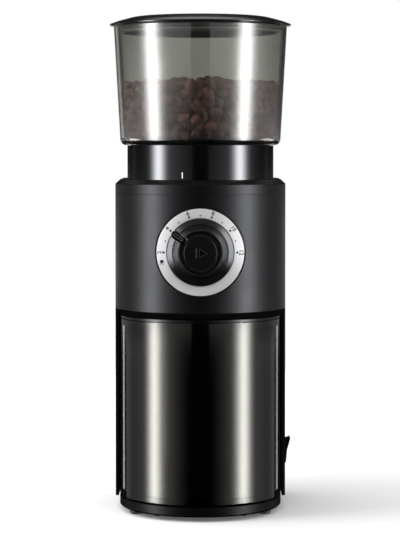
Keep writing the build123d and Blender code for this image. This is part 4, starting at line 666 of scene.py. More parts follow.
def box_mesh(low: Sequence[float], high: Sequence[float]) -> Mesh:
    """A box.

    Args:
        low: Its lower corner in millimetres.
        high: Its upper corner.

    Returns:
        The box, with its faces outwards.
    """
    mesh = bmesh.new()
    middle = [(a + b) / 2 * MM for a, b in zip(low, high)]
    size = [(b - a) * MM for a, b in zip(low, high)]
    bmesh.ops.create_cube(mesh, size=1.0, matrix=Matrix.Translation(middle) @ Matrix.Diagonal((*size, 1.0)))
    return mesh


def bevelled(mesh: Mesh, width: float, segments: int,
             edges: Sequence[bmesh.types.BMEdge] = ()) -> Mesh:
    """Round the edges of a mesh.

    Args:
        mesh: The mesh, changed in place.
        width: Reach of the rounding in millimetres.
        segments: Runs across it.
        edges: The edges to round, or nothing for all.

    Returns:
        The same mesh.
    """
    bmesh.ops.bevel(mesh, geom=list(edges or mesh.edges), offset=width * MM, segments=segments, profile=0.5,
                    affect="EDGES", clamp_overlap=True)
    return mesh


def outline_plate(points: Sequence[Point], low: float, high: float) -> Mesh:
    """An upright plate over an outline.

    Args:
        points: The outline in millimetres.
        low: Its lower level.
        high: Its upper level.

    Returns:
        The closed plate, with its faces outwards.
    """
    mesh = bmesh.new()
    face = mesh.faces.new([mesh.verts.new((x * MM, y * MM, low * MM)) for x, y in points])
    raised = bmesh.ops.extrude_face_region(mesh, geom=[face])
    verts = [item for item in raised["geom"] if isinstance(item, bmesh.types.BMVert)]
    bmesh.ops.translate(mesh, verts=verts, vec=(0, 0, (high - low) * MM))
    bmesh.ops.recalc_face_normals(mesh, faces=mesh.faces)
    return mesh


def raised_rim(outside: Sequence[Point], inside: Sequence[Point], low: float, high: float) -> Mesh:
    """A thin rim between two outlines of as many points.

    Args:
        outside: Its outer outline in millimetres.
        inside: Its inner outline.
        low: Its lower level.
        high: Its upper level.

    Returns:
        The closed rim, with its faces outwards.
    """
    mesh = bmesh.new()
    rings = [[mesh.verts.new((x * MM, y * MM, z * MM)) for x, y in loop]
             for loop, z in ((outside, low), (outside, high), (inside, high), (inside, low))]
    count = len(outside)
    for index, lower in enumerate(rings):
        upper = rings[(index + 1) % 4]
        for step in range(count):
            beyond = (step + 1) % count
            mesh.faces.new((lower[step], lower[beyond], upper[beyond], upper[step]))
    bmesh.ops.recalc_face_normals(mesh, faces=mesh.faces)
    return mesh


def joined(meshes: Iterable[Mesh]) -> Mesh:
    """Put several meshes into one.

    Args:
        meshes: The meshes, which are used up.

    Returns:
        The whole.
    """
    whole = bmesh.new()
    for part in meshes:
        data = bpy.data.meshes.new("part")
        part.to_mesh(data)
        part.free()
        whole.from_mesh(data)
        bpy.data.meshes.remove(data)
    return whole


# ---------------------------------------------------------------- pieces
def in_scene(name: str, data: bpy.types.ID) -> Piece:
    """Put data into the scene as an object at the origin.

    Args:
        name: The object's name.
        data: Its mesh or curve.

    Returns:
        The object.
    """
    piece = bpy.data.objects.new(name, data)
    bpy.context.collection.objects.link(piece)
    return piece


def with_mesh(name: str, mesh: Mesh) -> Piece:
    """Put a mesh into the scene as an object at the origin.

    Args:
        name: The object's name.
        mesh: Its mesh, which is used up.

    Returns:
        The object.
    """
    data = bpy.data.meshes.new(name)
    mesh.to_mesh(data)
    mesh.free()
    return in_scene(name, data)


def plain(piece: Piece) -> Piece:
    """Turn an object's evaluated shape into its own mesh and drop its modifiers.

    Args:
        piece: The object.

    Returns:
        The same object.
    """
    bpy.context.view_layer.update()
    graph = bpy.context.evaluated_depsgraph_get()
    data = bpy.data.meshes.new_from_object(piece.evaluated_get(graph), depsgraph=graph)
    data.name = piece.name
    piece.modifiers.clear()
    piece.data = data
    return piece


def dressed(piece: Piece, finish: Finish, edge: Edge = Edge.SOFT) -> Piece:
    """Give a plain mesh object its finish and its shading.

    Args:
        piece: The object.
        finish: Its finish.
        edge: How its edges are shaded.

    Returns:
        The same object.
    """
    data = piece.data
    data.shade_smooth()
    data.set_sharp_from_angle(angle=math.radians(edge.value))
    data.materials.clear()
    data.materials.append(finish.material())
    modifier = piece.modifiers.new("even_shading", "WEIGHTED_NORMAL")
    modifier.keep_sharp = True
    modifier.weight = 60
    return plain(piece)


def finished(name: str, mesh: Mesh, finish: Finish, edge: Edge = Edge.SOFT,
             place: Matrix | None = None) -> Piece:
    """Make a piece of a mesh, shaded smooth, with a finish.

    Args:
        name: The piece's name.
        mesh: Its mesh, which is used up.
        finish: Its finish.
        edge: How its edges are shaded.
        place: Where it goes, put into the mesh.

    Returns:
        The piece, at the origin.
    """
    if place is not None:
        mesh.transform(place)
    return dressed(with_mesh(name, mesh), finish, edge)


def turned(name: str, corners: Sequence[Corner], finish: Finish, steps: int,
           segments: int = 160) -> Piece:
    """Make a piece that is turned about the Z axis.

    Args:
        name: The piece's name.
        corners: The corners of its section.
        finish: Its finish.
        steps: Runs that each rounding is made of.
        segments: Steps round the axis.

    Returns:
        The piece.
    """
    return finished(name, turned_mesh(rounded(corners, steps), segments), finish)


def eased_copy(node: str, name: str, finish: Finish, width: float) -> Piece:
    """A copy of a CAD node with its sharp edges eased as moulding leaves them.

    Args:
        node: The node's name.
        name: The piece's name.
        finish: Its finish.
        width: Reach of the easing in millimetres.

    Returns:
        The piece.
    """
    mesh = bmesh.new()
    mesh.from_mesh(frame["nodes"][node].data)
    bmesh.ops.remove_doubles(mesh, verts=mesh.verts, dist=0.002 * MM)
    bmesh.ops.dissolve_limit(mesh, angle_limit=math.radians(0.3), verts=mesh.verts, edges=mesh.edges)
    bmesh.ops.recalc_face_normals(mesh, faces=mesh.faces)
    piece = with_mesh(name, mesh)
    bevel = piece.modifiers.new("eased", "BEVEL")
    bevel.width = width * MM
    bevel.segments = 2
    bevel.limit_method = "ANGLE"
    bevel.angle_limit = math.radians(35)
    return dressed(plain(piece), finish)


def settle(piece: Piece, body: str, slot: str, *nodes: str) -> None:
    """Hand a finished piece to the frame.

    Args:
        piece: The piece.
        body: The body that it rides on.
        slot: The record's slot of the piece's finish; not used.
        *nodes: CAD nodes that it stands for.
    """
    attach(piece, body)
    if nodes:
        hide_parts(*nodes)
    log.info("%s rides %s, %d faces", piece.name, body, len(piece.data.polygons))


# ---------------------------------------------------------------- repeated parts
class CopyTree:
    """A geometry node tree that sets copies of one part on points, with named inputs."""

    def __init__(self, name: str, sizes: Sequence[tuple[str, str]] = ()) -> None:
        """Start the tree with its inputs.

        Args:
            name: The tree's name.
            sizes: Name and kind of each input besides the geometry, the part and its finish.
        """
        self.group = bpy.data.node_groups.new(name, "GeometryNodeTree")
        face = self.group.interface
        face.new_socket("Geometry", in_out="INPUT", socket_type="NodeSocketGeometry")
        self.ids = {key: face.new_socket(key, in_out="INPUT", socket_type=f"NodeSocket{kind}").identifier
                    for key, kind in (("Part", "Object"), ("Finish", "Material"), *sizes)}
        face.new_socket("Geometry", in_out="OUTPUT", socket_type="NodeSocketGeometry")
        self.graph = Graph(self.group)
        self.given = self.graph.add("NodeGroupInput").outputs

    def copy(self, points: Socket, placing: dict) -> None:
        """End the tree: copy the part, make the copies real and coat them.

        Args:
            points: The points that get one copy each.
            placing: How the copies are turned and sized, by input name.
        """
        part = self.graph.add("GeometryNodeObjectInfo", {"Object": self.given["Part"]})
        copies = self.graph.add("GeometryNodeInstanceOnPoints", {
            "Points": points, "Instance": part.outputs["Geometry"], **placing})
        real = self.graph.add("GeometryNodeRealizeInstances", {"Geometry": copies.outputs[0]})
        coated = self.graph.add("GeometryNodeSetMaterial", {
            "Geometry": real.outputs[0], "Material": self.given["Finish"]})
        self.graph.add("NodeGroupOutput", {0: coated.outputs[0]})

    def run(self, piece: Piece, source: Piece, finish: Finish, sizes: dict) -> None:
        """Run the tree on a piece and keep the result as its plain mesh.

        Args:
            piece: The piece.
            source: The part's object, which is removed afterwards.
            finish: The finish of the copies.
            sizes: The other inputs, by name.
        """
        modifier = piece.modifiers.new("copies", "NODES")
        modifier.node_group = self.group
        for key, value in {"Part": source, "Finish": finish.material(), **sizes}.items():
            modifier[self.ids[key]] = value
        plain(piece)
        bpy.data.objects.remove(source)


class RingOfParts(CopyTree):
    """Copies of one part round a circle about the Z axis."""

    def __init__(self) -> None:
        """Build the tree."""
        super().__init__("ring_of_parts", (
            ("Count", "Int"), ("Radius", "Float"), ("First Angle", "Float"), ("Step Angle", "Float")))
        graph, given = self.graph, self.given
        index = graph.add("GeometryNodeInputIndex").outputs[0]
        angle = graph.math("ADD", graph.math("MULTIPLY", index, given["Step Angle"]), given["First Angle"])
        along = graph.math("MULTIPLY", graph.math("COSINE", angle), given["Radius"])
        across = graph.math("MULTIPLY", graph.math("SINE", angle), given["Radius"])
        spot = graph.add("ShaderNodeCombineXYZ", {0: along, 1: across}).outputs[0]
        turn = graph.add("ShaderNodeCombineXYZ", {2: angle}).outputs[0]
        points = graph.add("GeometryNodePoints", {"Count": given["Count"], "Position": spot})
        self.copy(points.outputs[0], {"Rotation": turn})

    def make(self, name: str, part: Mesh, finish: Finish, count: int, radius: float,
             first: float = 0.0, step: float | None = None, place: Matrix | None = None) -> Piece:
        """Make one ring of parts as a plain mesh.

        Args:
            name: The piece's name.
            part: The part at the origin, its outward side along X; used up.
            finish: Its finish.
            count: Number of copies.
            radius: Radius of the circle in millimetres.
            first: Angle of the first copy in degrees.
            step: Angle between copies in degrees, or None for a full circle.
            place: Where the ring goes, put into the mesh.

        Returns:
            The piece.
        """
        source = with_mesh(f"{name}_part", part)
        piece = in_scene(name, bpy.data.meshes.new(name))
        turn = 360.0 / count if step is None else step
        self.run(piece, source, finish, {"Count": count, "Radius": radius * MM,
                                         "First Angle": math.radians(first), "Step Angle": math.radians(turn)})
        if place is not None:
            piece.data.transform(place)
        return dressed(piece, finish)


class BeanPile(CopyTree):
    """A bean on each point, turned and sized by the point's attributes."""

    def __init__(self) -> None:
        """Build the tree."""
        super().__init__("bean_pile")
        turn, size = (self.graph.add("GeometryNodeInputNamedAttribute", {"Name": key}, data_type="FLOAT_VECTOR")
                      for key in ("turn", "size"))
        self.copy(self.given["Geometry"], {"Rotation": turn.outputs[0], "Scale": size.outputs[0]})

    def make(self, name: str, spots: np.ndarray, turns: np.ndarray, sizes: np.ndarray,
             tones: np.ndarray, bean: Mesh, skin: Finish) -> Piece:
        """Make the pile as a plain mesh.

        Args:
            name: The piece's name.
            spots: Bean centres in metres.
            turns: Their turns as Euler angles.
            sizes: Their scales.
            tones: Their skin tones from 0 to 1.
            bean: One bean at the origin; used up.
            skin: Its finish.

        Returns:
            The piece.
        """
        data = bpy.data.meshes.new(name)
        data.from_pydata([tuple(spot) for spot in spots], [], [])
        for key, kind, field, values in (("turn", "FLOAT_VECTOR", "vector", turns),
                                         ("size", "FLOAT_VECTOR", "vector", sizes),
                                         ("tone", "FLOAT", "value", tones)):
            layer = data.attributes.new(key, kind, "POINT")
            layer.data.foreach_set(field, np.asarray(values, dtype=np.float32).ravel())
        piece = in_scene(name, data)
        source = with_mesh("one_bean", bean)
        source.data.shade_smooth()
        self.run(piece, source, skin, {})
        return piece


# ---------------------------------------------------------------- sub-assemblies
class CadNodes:
    """Every node of the part, given the finish of its slot."""

    def dress(self) -> None:
        """Put each node's finish in place of the plain colour of its slot."""
        for name, node in frame["nodes"].items():
            for slot in node.material_slots:
                slot.material = SLOT_FINISH[slot.material.name.split(".")[0]].material()
            log.info("node %s dressed", name)


@dataclass
class Hopper:
    """Bowl, beans, lid and lid seal, in millimetres."""

    throat: float = 17.0
    wall: float = 2.2
    skirt: float = 47.5
    skirt_foot: float = 243.3
    foot: float = 261.45
    floor_edge: Point = (55.1, 265.4)
    floor_rise: float = 249.3
    wall_foot: Point = (55.3, 268.7)
    wall_rim: Point = (59.7, 346.1)
    lid_edge: float = 64.85
    seal_ribs: int = 216
    bean_seed: int = 7
    bean_length: float = 10.4
    bean_width: float = 7.4
    bean_depth: float = 5.2
    wall_gap: float = 0.35
    floor_gap: float = 0.3
    fill: float = 302.3
    row_foot: float = 269.0
    row_rise: float = 5.5
    row_pitch: float = 7.6
    row_inset: float = 0.6
    row_scatter: float = 1.6
    layers: tuple[Point, ...] = ((0, 1.0), (1, 0.9))
    layer_depth: float = 3.4
    ring_gap: float = 6.4
    ring_pitch: float = 8.2
    ring_limit: float = 53.0
    crown_rise: float = 2.6
    crown_radius: float = 56.0
    crown_swell: float = 1.6

    def bowl(self) -> None:
        """The bowl with its rounded foot, throat and skirt, without its lugs."""
        rim, rim_level = self.wall_rim
        corners = [
            Corner(self.throat, 209.3, 0.5), Corner(self.throat + self.wall, 209.3, 0.5),
            Corner(self.throat + self.wall, 247.1, 2.0), Corner(self.skirt, 260.4, 1.0),
            Corner(self.skirt, self.skirt_foot, 0.4), Corner(self.skirt + self.wall, self.skirt_foot, 0.4),
            Corner(self.skirt + self.wall, self.foot, 0.2), Corner(52.9, self.foot, 0.4),
            Corner(57.12, 261.5, 5.6), Corner(rim + self.wall, rim_level, 0.7), Corner(rim, rim_level, 0.7),
            Corner(*self.floor_edge, 3.0), Corner(self.throat, self.floor_rise, 1.5)]
        settle(turned("bowl_shell", corners, SMOKED, 8), "hopper", "smoked_clear", "hopper_bowl")

    def lid(self) -> None:
        """The domed lid with its plug."""
        corners = [
            Corner(0.0, 353.4), Corner(28.0, 353.3, 26.0), Corner(48.5, 352.55, 20.0),
            Corner(59.5, 349.55, 8.0), Corner(self.lid_edge, 347.6, 0.4), Corner(self.lid_edge, 346.75, 0.4),
            Corner(62.0, 346.2, 0.3), Corner(57.3, 346.2, 0.2), Corner(57.3, 341.1, 0.5),
            Corner(55.3, 341.1, 0.5), Corner(55.3, 347.6, 2.0), Corner(49.0, 350.2, 6.0), Corner(0.0, 351.5)]
        settle(turned("lid_dome", corners, SMOKED_LID, 9), "lid", "smoked_lid", "hopper_lid")

    def seal(self, rings: RingOfParts) -> None:
        """The seal's band, the upright ribs round it in a lighter tone that paints their highlights, and under
        them a thin pale bead that is a painted highlight along the band's lower edge.

        Args:
            rings: The tree for parts in a ring.
        """
        band = turned("seal_band", ring_section(57.32, 58.3, 341.8, 345.4, 0.3), SILICONE, 3, 128)
        settle(band, "lid", "clear_silicone", "lid_seal")
        # The ribs are real; their lighter tone is painted highlight.
        rib = bevelled(box_mesh((-0.4, -0.36, 342.7), (0.24, 0.36, 345.4)), 0.14, 1)
        settle(rings.make("seal_ribs", rib, SEAL_RIB_SILICONE_AND_HIGHLIGHT, self.seal_ribs, 58.5), "lid", "clear_silicone")
        # Painted highlight: a thin pale bead along the band's lower edge, standing for the light that edge
        # catches.
        edge_highlight = turned("seal_lip", ring_section(58.1, 58.8, 341.85, 342.5, 0.3), SEAL_PAINTED_HIGHLIGHT, 3, 128)
        settle(edge_highlight, "lid", "clear_silicone")

    def one_bean(self) -> Mesh:
        """A bean along X, its flat side with the crease downwards.

        Returns:
            The bean.
        """
        mesh = bmesh.new()
        bmesh.ops.create_uvsphere(mesh, u_segments=12, v_segments=8, radius=1.0)
        mesh.transform(Matrix.Rotation(math.radians(90), 4, "Y"))
        for vert in mesh.verts:
            x, y, z = vert.co
            if z < 0:
                crease = math.exp(-(y / 0.22) ** 2) * 0.34 * (1 - x * x)
                z = z * 0.34 + crease
            vert.co = (x * self.bean_length / 2 * MM, y * self.bean_width / 2 * MM * (1 - 0.08 * x),
                       z * self.bean_depth * 0.68 * MM)
        bmesh.ops.recalc_face_normals(mesh, faces=mesh.faces)
        return mesh

    def inner_radius(self, height: float) -> float:
        """Inner radius of the bowl's wall at a height."""
        (foot, low), (rim, high) = self.wall_foot, self.wall_rim
        return foot + (height - low) * (rim - foot) / (high - low)

    def floor_level(self, radius: float) -> float:
        """Level that the beans stay above, just over the bowl's inner floor.

        Args:
            radius: Distance from the axis in millimetres.

        Returns:
            The level in millimetres.
        """
        edge, level = self.floor_edge
        rise = (level + self.floor_gap - self.floor_rise) / (edge - self.throat)
        return self.floor_rise + self.floor_gap + max(0.0, radius - self.throat) * rise

    def kept_inside(self, centres: np.ndarray, turns: np.ndarray, sizes: np.ndarray) -> None:
        """Move the beans that would reach into the bowl's wall or floor back inside.

        Args:
            centres: Bean centres, changed in place.
            turns: Their turns as Euler angles.
            sizes: Their scales.
        """
        halves = np.array([self.bean_length, self.bean_width, self.bean_depth * 1.2]) / 2
        for centre, turn, size in zip(centres, turns, sizes):
            axes = np.array(Euler(turn).to_matrix()) * (halves * size)
            away = math.hypot(centre[0], centre[1])
            if away > 1.0:
                outwards = np.array([centre[0], centre[1], 0.0]) / away
                reach = float(np.linalg.norm(outwards @ axes))
                centre[:2] *= min(1.0, (self.inner_radius(centre[2]) - self.wall_gap - reach) / away)
            deep = float(np.linalg.norm(axes[2]))
            centre[2] = max(centre[2], self.floor_level(math.hypot(centre[0], centre[1])) + deep)

    def wall_spots(self, rng: np.random.Generator) -> list[tuple[float, float, float]]:
        """Where the beans lie that stand in rows against the wall, two deep.

        Args:
            rng: The source of chance.

        Returns:
            Their centres.
        """
        spots = []
        for layer, share in self.layers:
            inset = self.bean_depth / 2 + self.row_inset + layer * self.layer_depth
            for height in np.arange(self.row_foot, self.fill + 2.0, self.row_rise):
                radius = self.inner_radius(height) - inset
                count = int(2 * math.pi * radius / self.row_pitch * share)
                start = rng.uniform(0, 2 * math.pi)
                for step in range(count):
                    angle = start + 2 * math.pi * (step + rng.uniform(-0.2, 0.2)) / count
                    lift = height + rng.uniform(-self.row_scatter, self.row_scatter)
                    spots.append((radius * math.cos(angle), radius * math.sin(angle), lift))
        return spots

    def top_spots(self, rng: np.random.Generator) -> list[tuple[float, float, float]]:
        """Where the beans lie that make the pile's low, uneven crown.

        Args:
            rng: The source of chance.

        Returns:
            Their centres.
        """
        spots = []
        for ring in np.arange(0.0, self.ring_limit, self.ring_gap):
            count = max(1, int(2 * math.pi * ring / self.ring_pitch))
            start = rng.uniform(0, 2 * math.pi)
            for step in range(count):
                angle = start + 2 * math.pi * (step + rng.uniform(-0.25, 0.25)) / count
                spread = ring + rng.uniform(-1.0, 1.0)
                crown = self.crown_rise * math.cos(min(spread / self.crown_radius, 1.0) * math.pi / 2)
                swell = self.crown_swell * math.sin(spread * 0.11 + 2.0 * angle)
                lift = self.fill + crown + swell + rng.uniform(-1.2, 1.6)
                spots.append((spread * math.cos(angle), spread * math.sin(angle), lift))
        return spots

    def bean_turns(self, rng: np.random.Generator, centres: np.ndarray, on_wall: int) -> np.ndarray:
        """Turn each bean: those at the wall with a broad side to it, the others lying.

        Args:
            rng: The source of chance.
            centres: The beans' centres.
            on_wall: How many of them, the first ones, lie against the wall.

        Returns:
            Their turns as Euler angles.
        """
        count = len(centres)
        turns = np.zeros((count, 3))
        roll = rng.uniform(0, 2 * math.pi, count)
        tilt = rng.normal(0, 0.35, (count, 2))
        for index, (x, y, _) in enumerate(centres):
            if index < on_wall:
                faced = Matrix.Rotation(math.atan2(y, x), 3, "Z") @ Matrix.Rotation(math.pi / 2, 3, "Y")
            else:
                faced = Matrix.Rotation(rng.choice([0.0, math.pi]), 3, "X")
            lean = Matrix.Rotation(tilt[index, 0], 3, "X") @ Matrix.Rotation(tilt[index, 1], 3, "Y")
            flip = Matrix.Rotation(rng.choice([0.0, math.pi]), 3, "X")
            turns[index] = (faced @ lean @ Matrix.Rotation(roll[index], 3, "Z") @ flip).to_euler("XYZ")
        return turns

    def beans(self, pile: BeanPile) -> None:
        """The beans that show at the wall and on top, over a dark core.

        Args:
            pile: The tree for beans.
        """
        rng = np.random.default_rng(self.bean_seed)
        at_wall = self.wall_spots(rng)
        centres = np.array(at_wall + self.top_spots(rng))
        turns = self.bean_turns(rng, centres, len(at_wall))
        count = len(centres)
        sizes = rng.uniform(0.86, 1.08, (count, 1)) * rng.uniform(0.94, 1.06, (count, 3))
        tones = rng.uniform(0, 1, count)
        self.kept_inside(centres, turns, sizes)
        piece = pile.make("bean_pile_beans", centres * MM, turns, sizes, tones, self.one_bean(), BEAN)
        settle(piece, "hopper", "roasted_bean", "coffee_beans")
        core = [Corner(0.0, 216.0), Corner(16.0, 216.0, 1.0), Corner(16.0, 250.5, 1.0),
                Corner(50.6, 266.0, 2.0), Corner(51.6, 297.5, 4.0), Corner(0.0, 300.0)]
        settle(turned("bean_core", core, BEAN, 5, 64), "hopper", "roasted_bean")

    def build(self, rings: RingOfParts, pile: BeanPile) -> None:
        """Make and dress the whole hopper.

        Args:
            rings: The tree for parts in a ring.
            pile: The tree for beans.
        """
        self.bowl()
        self.lid()
        self.seal(rings)
        self.beans(pile)


@dataclass
class QuantityDial:
    """Dial plate with its print, knob, pointer and start button, in millimetres and degrees."""

    front: float = 62.5
    height: float = 187.7
    plate_inner: float = 23.5
    plate_outer: float = 30.1
    plate_thickness: float = 0.8
    mark_radius: float = 25.35
    large_dot: float = 0.78
    small_dot: float = 0.5
    number_radius: float = 28.05
    number_height: float = 2.9
    number_swell: float = 0.07
    cup_radius: float = 27.4
    cup_angle: float = 193.5
    print_thickness: float = 0.04
    step: float = 36.0
    rib_count: int = 76
    rib_width: float = 0.8
    grip_radius: float = 18.2
    flange: float = 23.18
    hole: float = 13.12
    pointer_angle: float = 144.0
    pointer_top: float = 12.45
    button_radius: float = 11.38
    sign_low: float = 12.03
    sign_high: float = 12.15

    def fit(self, name: str, mesh: Mesh, finish: Finish, body: str, slot: str, *nodes: str,
            edge: Edge = Edge.SOFT, turn: float = 0.0, spot: Point = (0.0, 0.0)) -> None:
        """Finish a mesh that is made in the dial's own frame, its axis along Z, and hand it over.

        Args:
            name: The piece's name.
            mesh: Its mesh, which is used up.
            finish: Its finish.
            body: The body that it rides on.
            slot: The record's slot, passed on to settle.
            *nodes: CAD nodes that it stands for.
            edge: How its edges are shaded.
            turn: Angle by which it is turned on the dial.
            spot: Where on the dial it is moved, before any turn.
        """
        shift = Matrix.Translation((spot[0] * MM, spot[1] * MM, 0))
        place = self.place() @ Matrix.Rotation(math.radians(turn), 4, "Z") @ shift
        settle(finished(name, mesh, finish, edge, place), body, slot, *nodes)

    def place(self) -> Matrix:
        """From the dial's own frame to the front of the housing."""
        return (Matrix.Translation((0, -self.front * MM, self.height * MM))
                @ Matrix.Rotation(math.radians(90), 4, "X"))

    def plate(self) -> None:
        """The brushed ring."""
        back, face = -self.plate_thickness, -0.02
        corners = [Corner(self.plate_inner, back), Corner(self.plate_outer, back),
                   Corner(self.plate_outer, face, 0.25), Corner(self.plate_inner, face, 0.25)]
        mesh = turned_mesh(rounded(corners, 3), 160, ring_uv=True)
        self.fit("dial_ring", mesh, DIAL, "housing", "dial_silver", "dial_plate")

    def dots(self, rings: RingOfParts) -> None:
        """Large dots at the numbers and small ones between them.

        Args:
            rings: The tree for parts in a ring.
        """
        for name, size, count, first in (("dial_large_dots", self.large_dot, 6, 0.0),
                                         ("dial_small_dots", self.small_dot, 5, self.step / 2)):
            dot = bmesh.new()
            bmesh.ops.create_cone(dot, cap_ends=True, segments=20, radius1=size * MM, radius2=size * MM,
                                  depth=self.print_thickness * MM)
            piece = rings.make(name, dot, BLACK_INK, count, self.mark_radius, first, self.step, self.place())
            settle(piece, "housing", "knob_black")

    def number(self, text: str) -> Mesh:
        """A number as a thin print, centred, its top along Y.

        Args:
            text: The number's figures.

        Returns:
            The print.
        """
        curve = bpy.data.curves.new("number", "FONT")
        curve.body = text
        curve.size = self.number_height * MM * 1.42
        curve.align_x = "CENTER"
        curve.align_y = "CENTER"
        curve.extrude = self.print_thickness * MM / 2
        curve.offset = self.number_swell * MM
        curve.resolution_u = 3
        holder = in_scene("number", curve)
        bpy.context.view_layer.update()
        data = bpy.data.meshes.new_from_object(holder)
        mesh = bmesh.new()
        mesh.from_mesh(data)
        bpy.data.objects.remove(holder)
        bpy.data.meshes.remove(data)
        return mesh

    def numbers(self) -> None:
        """The numbers 2 to 12, each with its top outwards."""
        parts = []
        for index, value in enumerate(range(12, 0, -2)):
            mesh = self.number(str(value))
            turn = Matrix.Rotation(math.radians(index * self.step - 90.0), 4, "Z")
            mesh.transform(turn @ Matrix.Translation((0, self.number_radius * MM, 0)))
            parts.append(mesh)
        self.fit("dial_numbers", joined(parts), BLACK_INK, "housing", "knob_black", edge=Edge.CRISP)

    def cup(self) -> None:
        """A small cup sign beside the low end of the scale."""
        cup = [(-1.235, 1.17), (-0.91, -0.715), (-0.52, -1.04), (0.52, -1.04), (0.91, -0.715), (1.235, 1.17)]
        saucer = [(-1.69, -1.365), (1.69, -1.365), (1.43, -1.755), (-1.43, -1.755)]
        handle = [(1.17, 0.845), (1.755, 0.715), (1.755, -0.065), (1.04, -0.455), (1.079, -0.13),
                  (1.456, 0.104), (1.456, 0.494), (1.144, 0.546)]
        half = self.print_thickness / 2
        mesh = joined([outline_plate(points[::-1], -half, half) for points in (cup, saucer, handle)])
        angle = math.radians(self.cup_angle)
        spot = (self.cup_radius * math.cos(angle), self.cup_radius * math.sin(angle))
        self.fit("dial_cup_sign", mesh, BLACK_INK, "housing", "knob_black", edge=Edge.CRISP, spot=spot)

    def knob(self, rings: RingOfParts) -> None:
        """The knob's flange and grip, and the ribs round the grip.

        Args:
            rings: The tree for parts in a ring.
        """
        corners = [
            Corner(self.hole, 0.45, 0.1), Corner(self.flange, 0.45, 0.3), Corner(self.flange, 1.7, 0.7),
            Corner(19.5, 4.2, 0.3), Corner(15.6, 4.0, 0.2), Corner(15.5, 12.35, 0.3), Corner(14.75, 12.35, 0.3),
            Corner(14.3, 9.65, 0.3), Corner(self.hole, 9.65, 0.1)]
        self.fit("knob_body", turned_mesh(rounded(corners, 6), 160), KNOB, "dial", "knob_black", "dial_knob")
        side = [(15.2, 3.8), (19.0, 3.8), (18.9, 9.9), (15.5, 12.4), (15.2, 12.3)]
        half = self.rib_width / 2
        rib = outline_plate([(x - self.grip_radius, z) for x, z in side], -half, half)
        rib.transform(Matrix.Rotation(math.radians(90), 4, "X"))
        bevelled(rib, 0.22, 2)
        ribs = rings.make("knob_ribs", rib, KNOB, self.rib_count, self.grip_radius, self.pointer_angle + 10.0,
                          340.0 / (self.rib_count - 1), self.place())
        settle(ribs, "dial", "knob_black")

    def pointer(self) -> None:
        """The pointer bar, and a thin grey rim on its top that is a painted highlight along the edge of its
        slot.
        """
        top = self.pointer_top
        bar = outline_plate(self.stadium(12.4, 24.2, 2.8), 2.05, top)
        upper = [edge for edge in bar.edges if all(vert.co.z > (top - 0.1) * MM for vert in edge.verts)]
        bevelled(bar, 0.6, 4, upper)
        self.fit("pointer_bar", bar, GLOSS, "dial", "gloss_black", "knob_pointer", turn=self.pointer_angle)
        # Painted highlight: a thin grey rim on the bar's top stands for the light along the edge of its slot.
        rim = raised_rim(self.stadium(14.9, 22.6, 1.0, both=True), self.stadium(15.25, 22.25, 0.65, both=True),
                         top - 0.05, top + 0.09)
        self.fit("pointer_line", rim, POINTER_PAINTED_HIGHLIGHT, "dial", "knob_black", turn=self.pointer_angle)

    def stadium(self, inner: float, outer: float, half: float, both: bool = False) -> list[Point]:
        """A bar's outline along X with a round outer end.

        Args:
            inner: Where it starts.
            outer: Where it ends.
            half: Half its width.
            both: Round the inner end as well.

        Returns:
            The outline's points, anticlockwise.
        """
        turns = np.linspace(0.0, math.pi, 13)
        far = [(outer - half + half * math.sin(turn), -half * math.cos(turn)) for turn in turns]
        near = [(inner + half - half * math.sin(turn), half * math.cos(turn)) for turn in turns]
        return [*far, *near] if both else [(inner, -half), *far, (inner, half)]

    def start_button(self) -> None:
        """The start button's cap, with its sign on the face: the bar and the triangle's outline are a lighter
        grey that paints the highlights on the sign's edges.
        """
        corners = [
            Corner(0.0, 12.1), Corner(7.0, 12.1, 6.0), Corner(self.button_radius, 11.95, 0.4),
            Corner(self.button_radius, 4.25, 0.2), Corner(9.8, 4.25, 0.2), Corner(9.8, 10.4, 0.6),
            Corner(2.6, 10.4, 0.3), Corner(2.6, 4.3, 0.2), Corner(0.0, 4.3)]
        cap = turned_mesh(rounded(corners, 6), 128)
        self.fit("start_cap", cap, KNOB, "button", "knob_black", "start_button")
        # The sign is real; its lighter grey bar and triangle outline are painted highlight.
        low, high = self.sign_low, self.sign_high
        bar = bevelled(box_mesh((-3.4, -3.3, low), (-2.3, 3.3, high)), 0.04, 2)
        outer = [(-0.8, 3.2), (-0.8, -3.2), (4.7, 0.0)]
        inner = [(-0.5, 2.7), (-0.5, -2.7), (4.15, 0.0)]
        sign = joined([bar, raised_rim(outer, inner, low, high)])
        self.fit("start_sign", sign, SIGN_PAINTED_HIGHLIGHT_GREY, "button", "knob_black", edge=Edge.CRISP)
        filling = outline_plate(inner[::-1], low, high - 0.03)
        self.fit("start_sign_filling", filling, GLOSS, "button", "knob_black", edge=Edge.CRISP)

    def build(self, rings: RingOfParts) -> None:
        """Make and dress the whole dial.

        Args:
            rings: The tree for parts in a ring.
        """
        self.plate()
        self.dots(rings)
        self.numbers()
        self.cup()
        self.knob(rings)
        self.pointer()
        self.start_button()


@dataclass
class MouldedShells:
    """Housing, cover, column, base, rocker and container lid, their edges eased as moulding leaves them."""

    body_ease: float = 0.5
    small_ease: float = 0.3

    def build(self) -> None:
        """Make and dress the shells."""
        for node, name, finish, width, body, slot in (
                ("upper_housing", "housing_shell", SHELL, self.body_ease, "housing", "housing_black"),
                ("top_cover", "cover_shell", SHELL, self.body_ease, "housing", "housing_black"),
                ("rear_column", "column_shell", SHELL, self.body_ease, "housing", "housing_black"),
                ("base_tray", "base_shell", BASE, self.small_ease, "housing", "base_black"),
                ("power_rocker", "rocker_cap", BASE, self.small_ease, "rocker", "base_black"),
                ("container_lid", "container_cap", LID_BLACK, self.small_ease, "container", "lid_black")):
            settle(eased_copy(node, name, finish, width), body, slot, node)


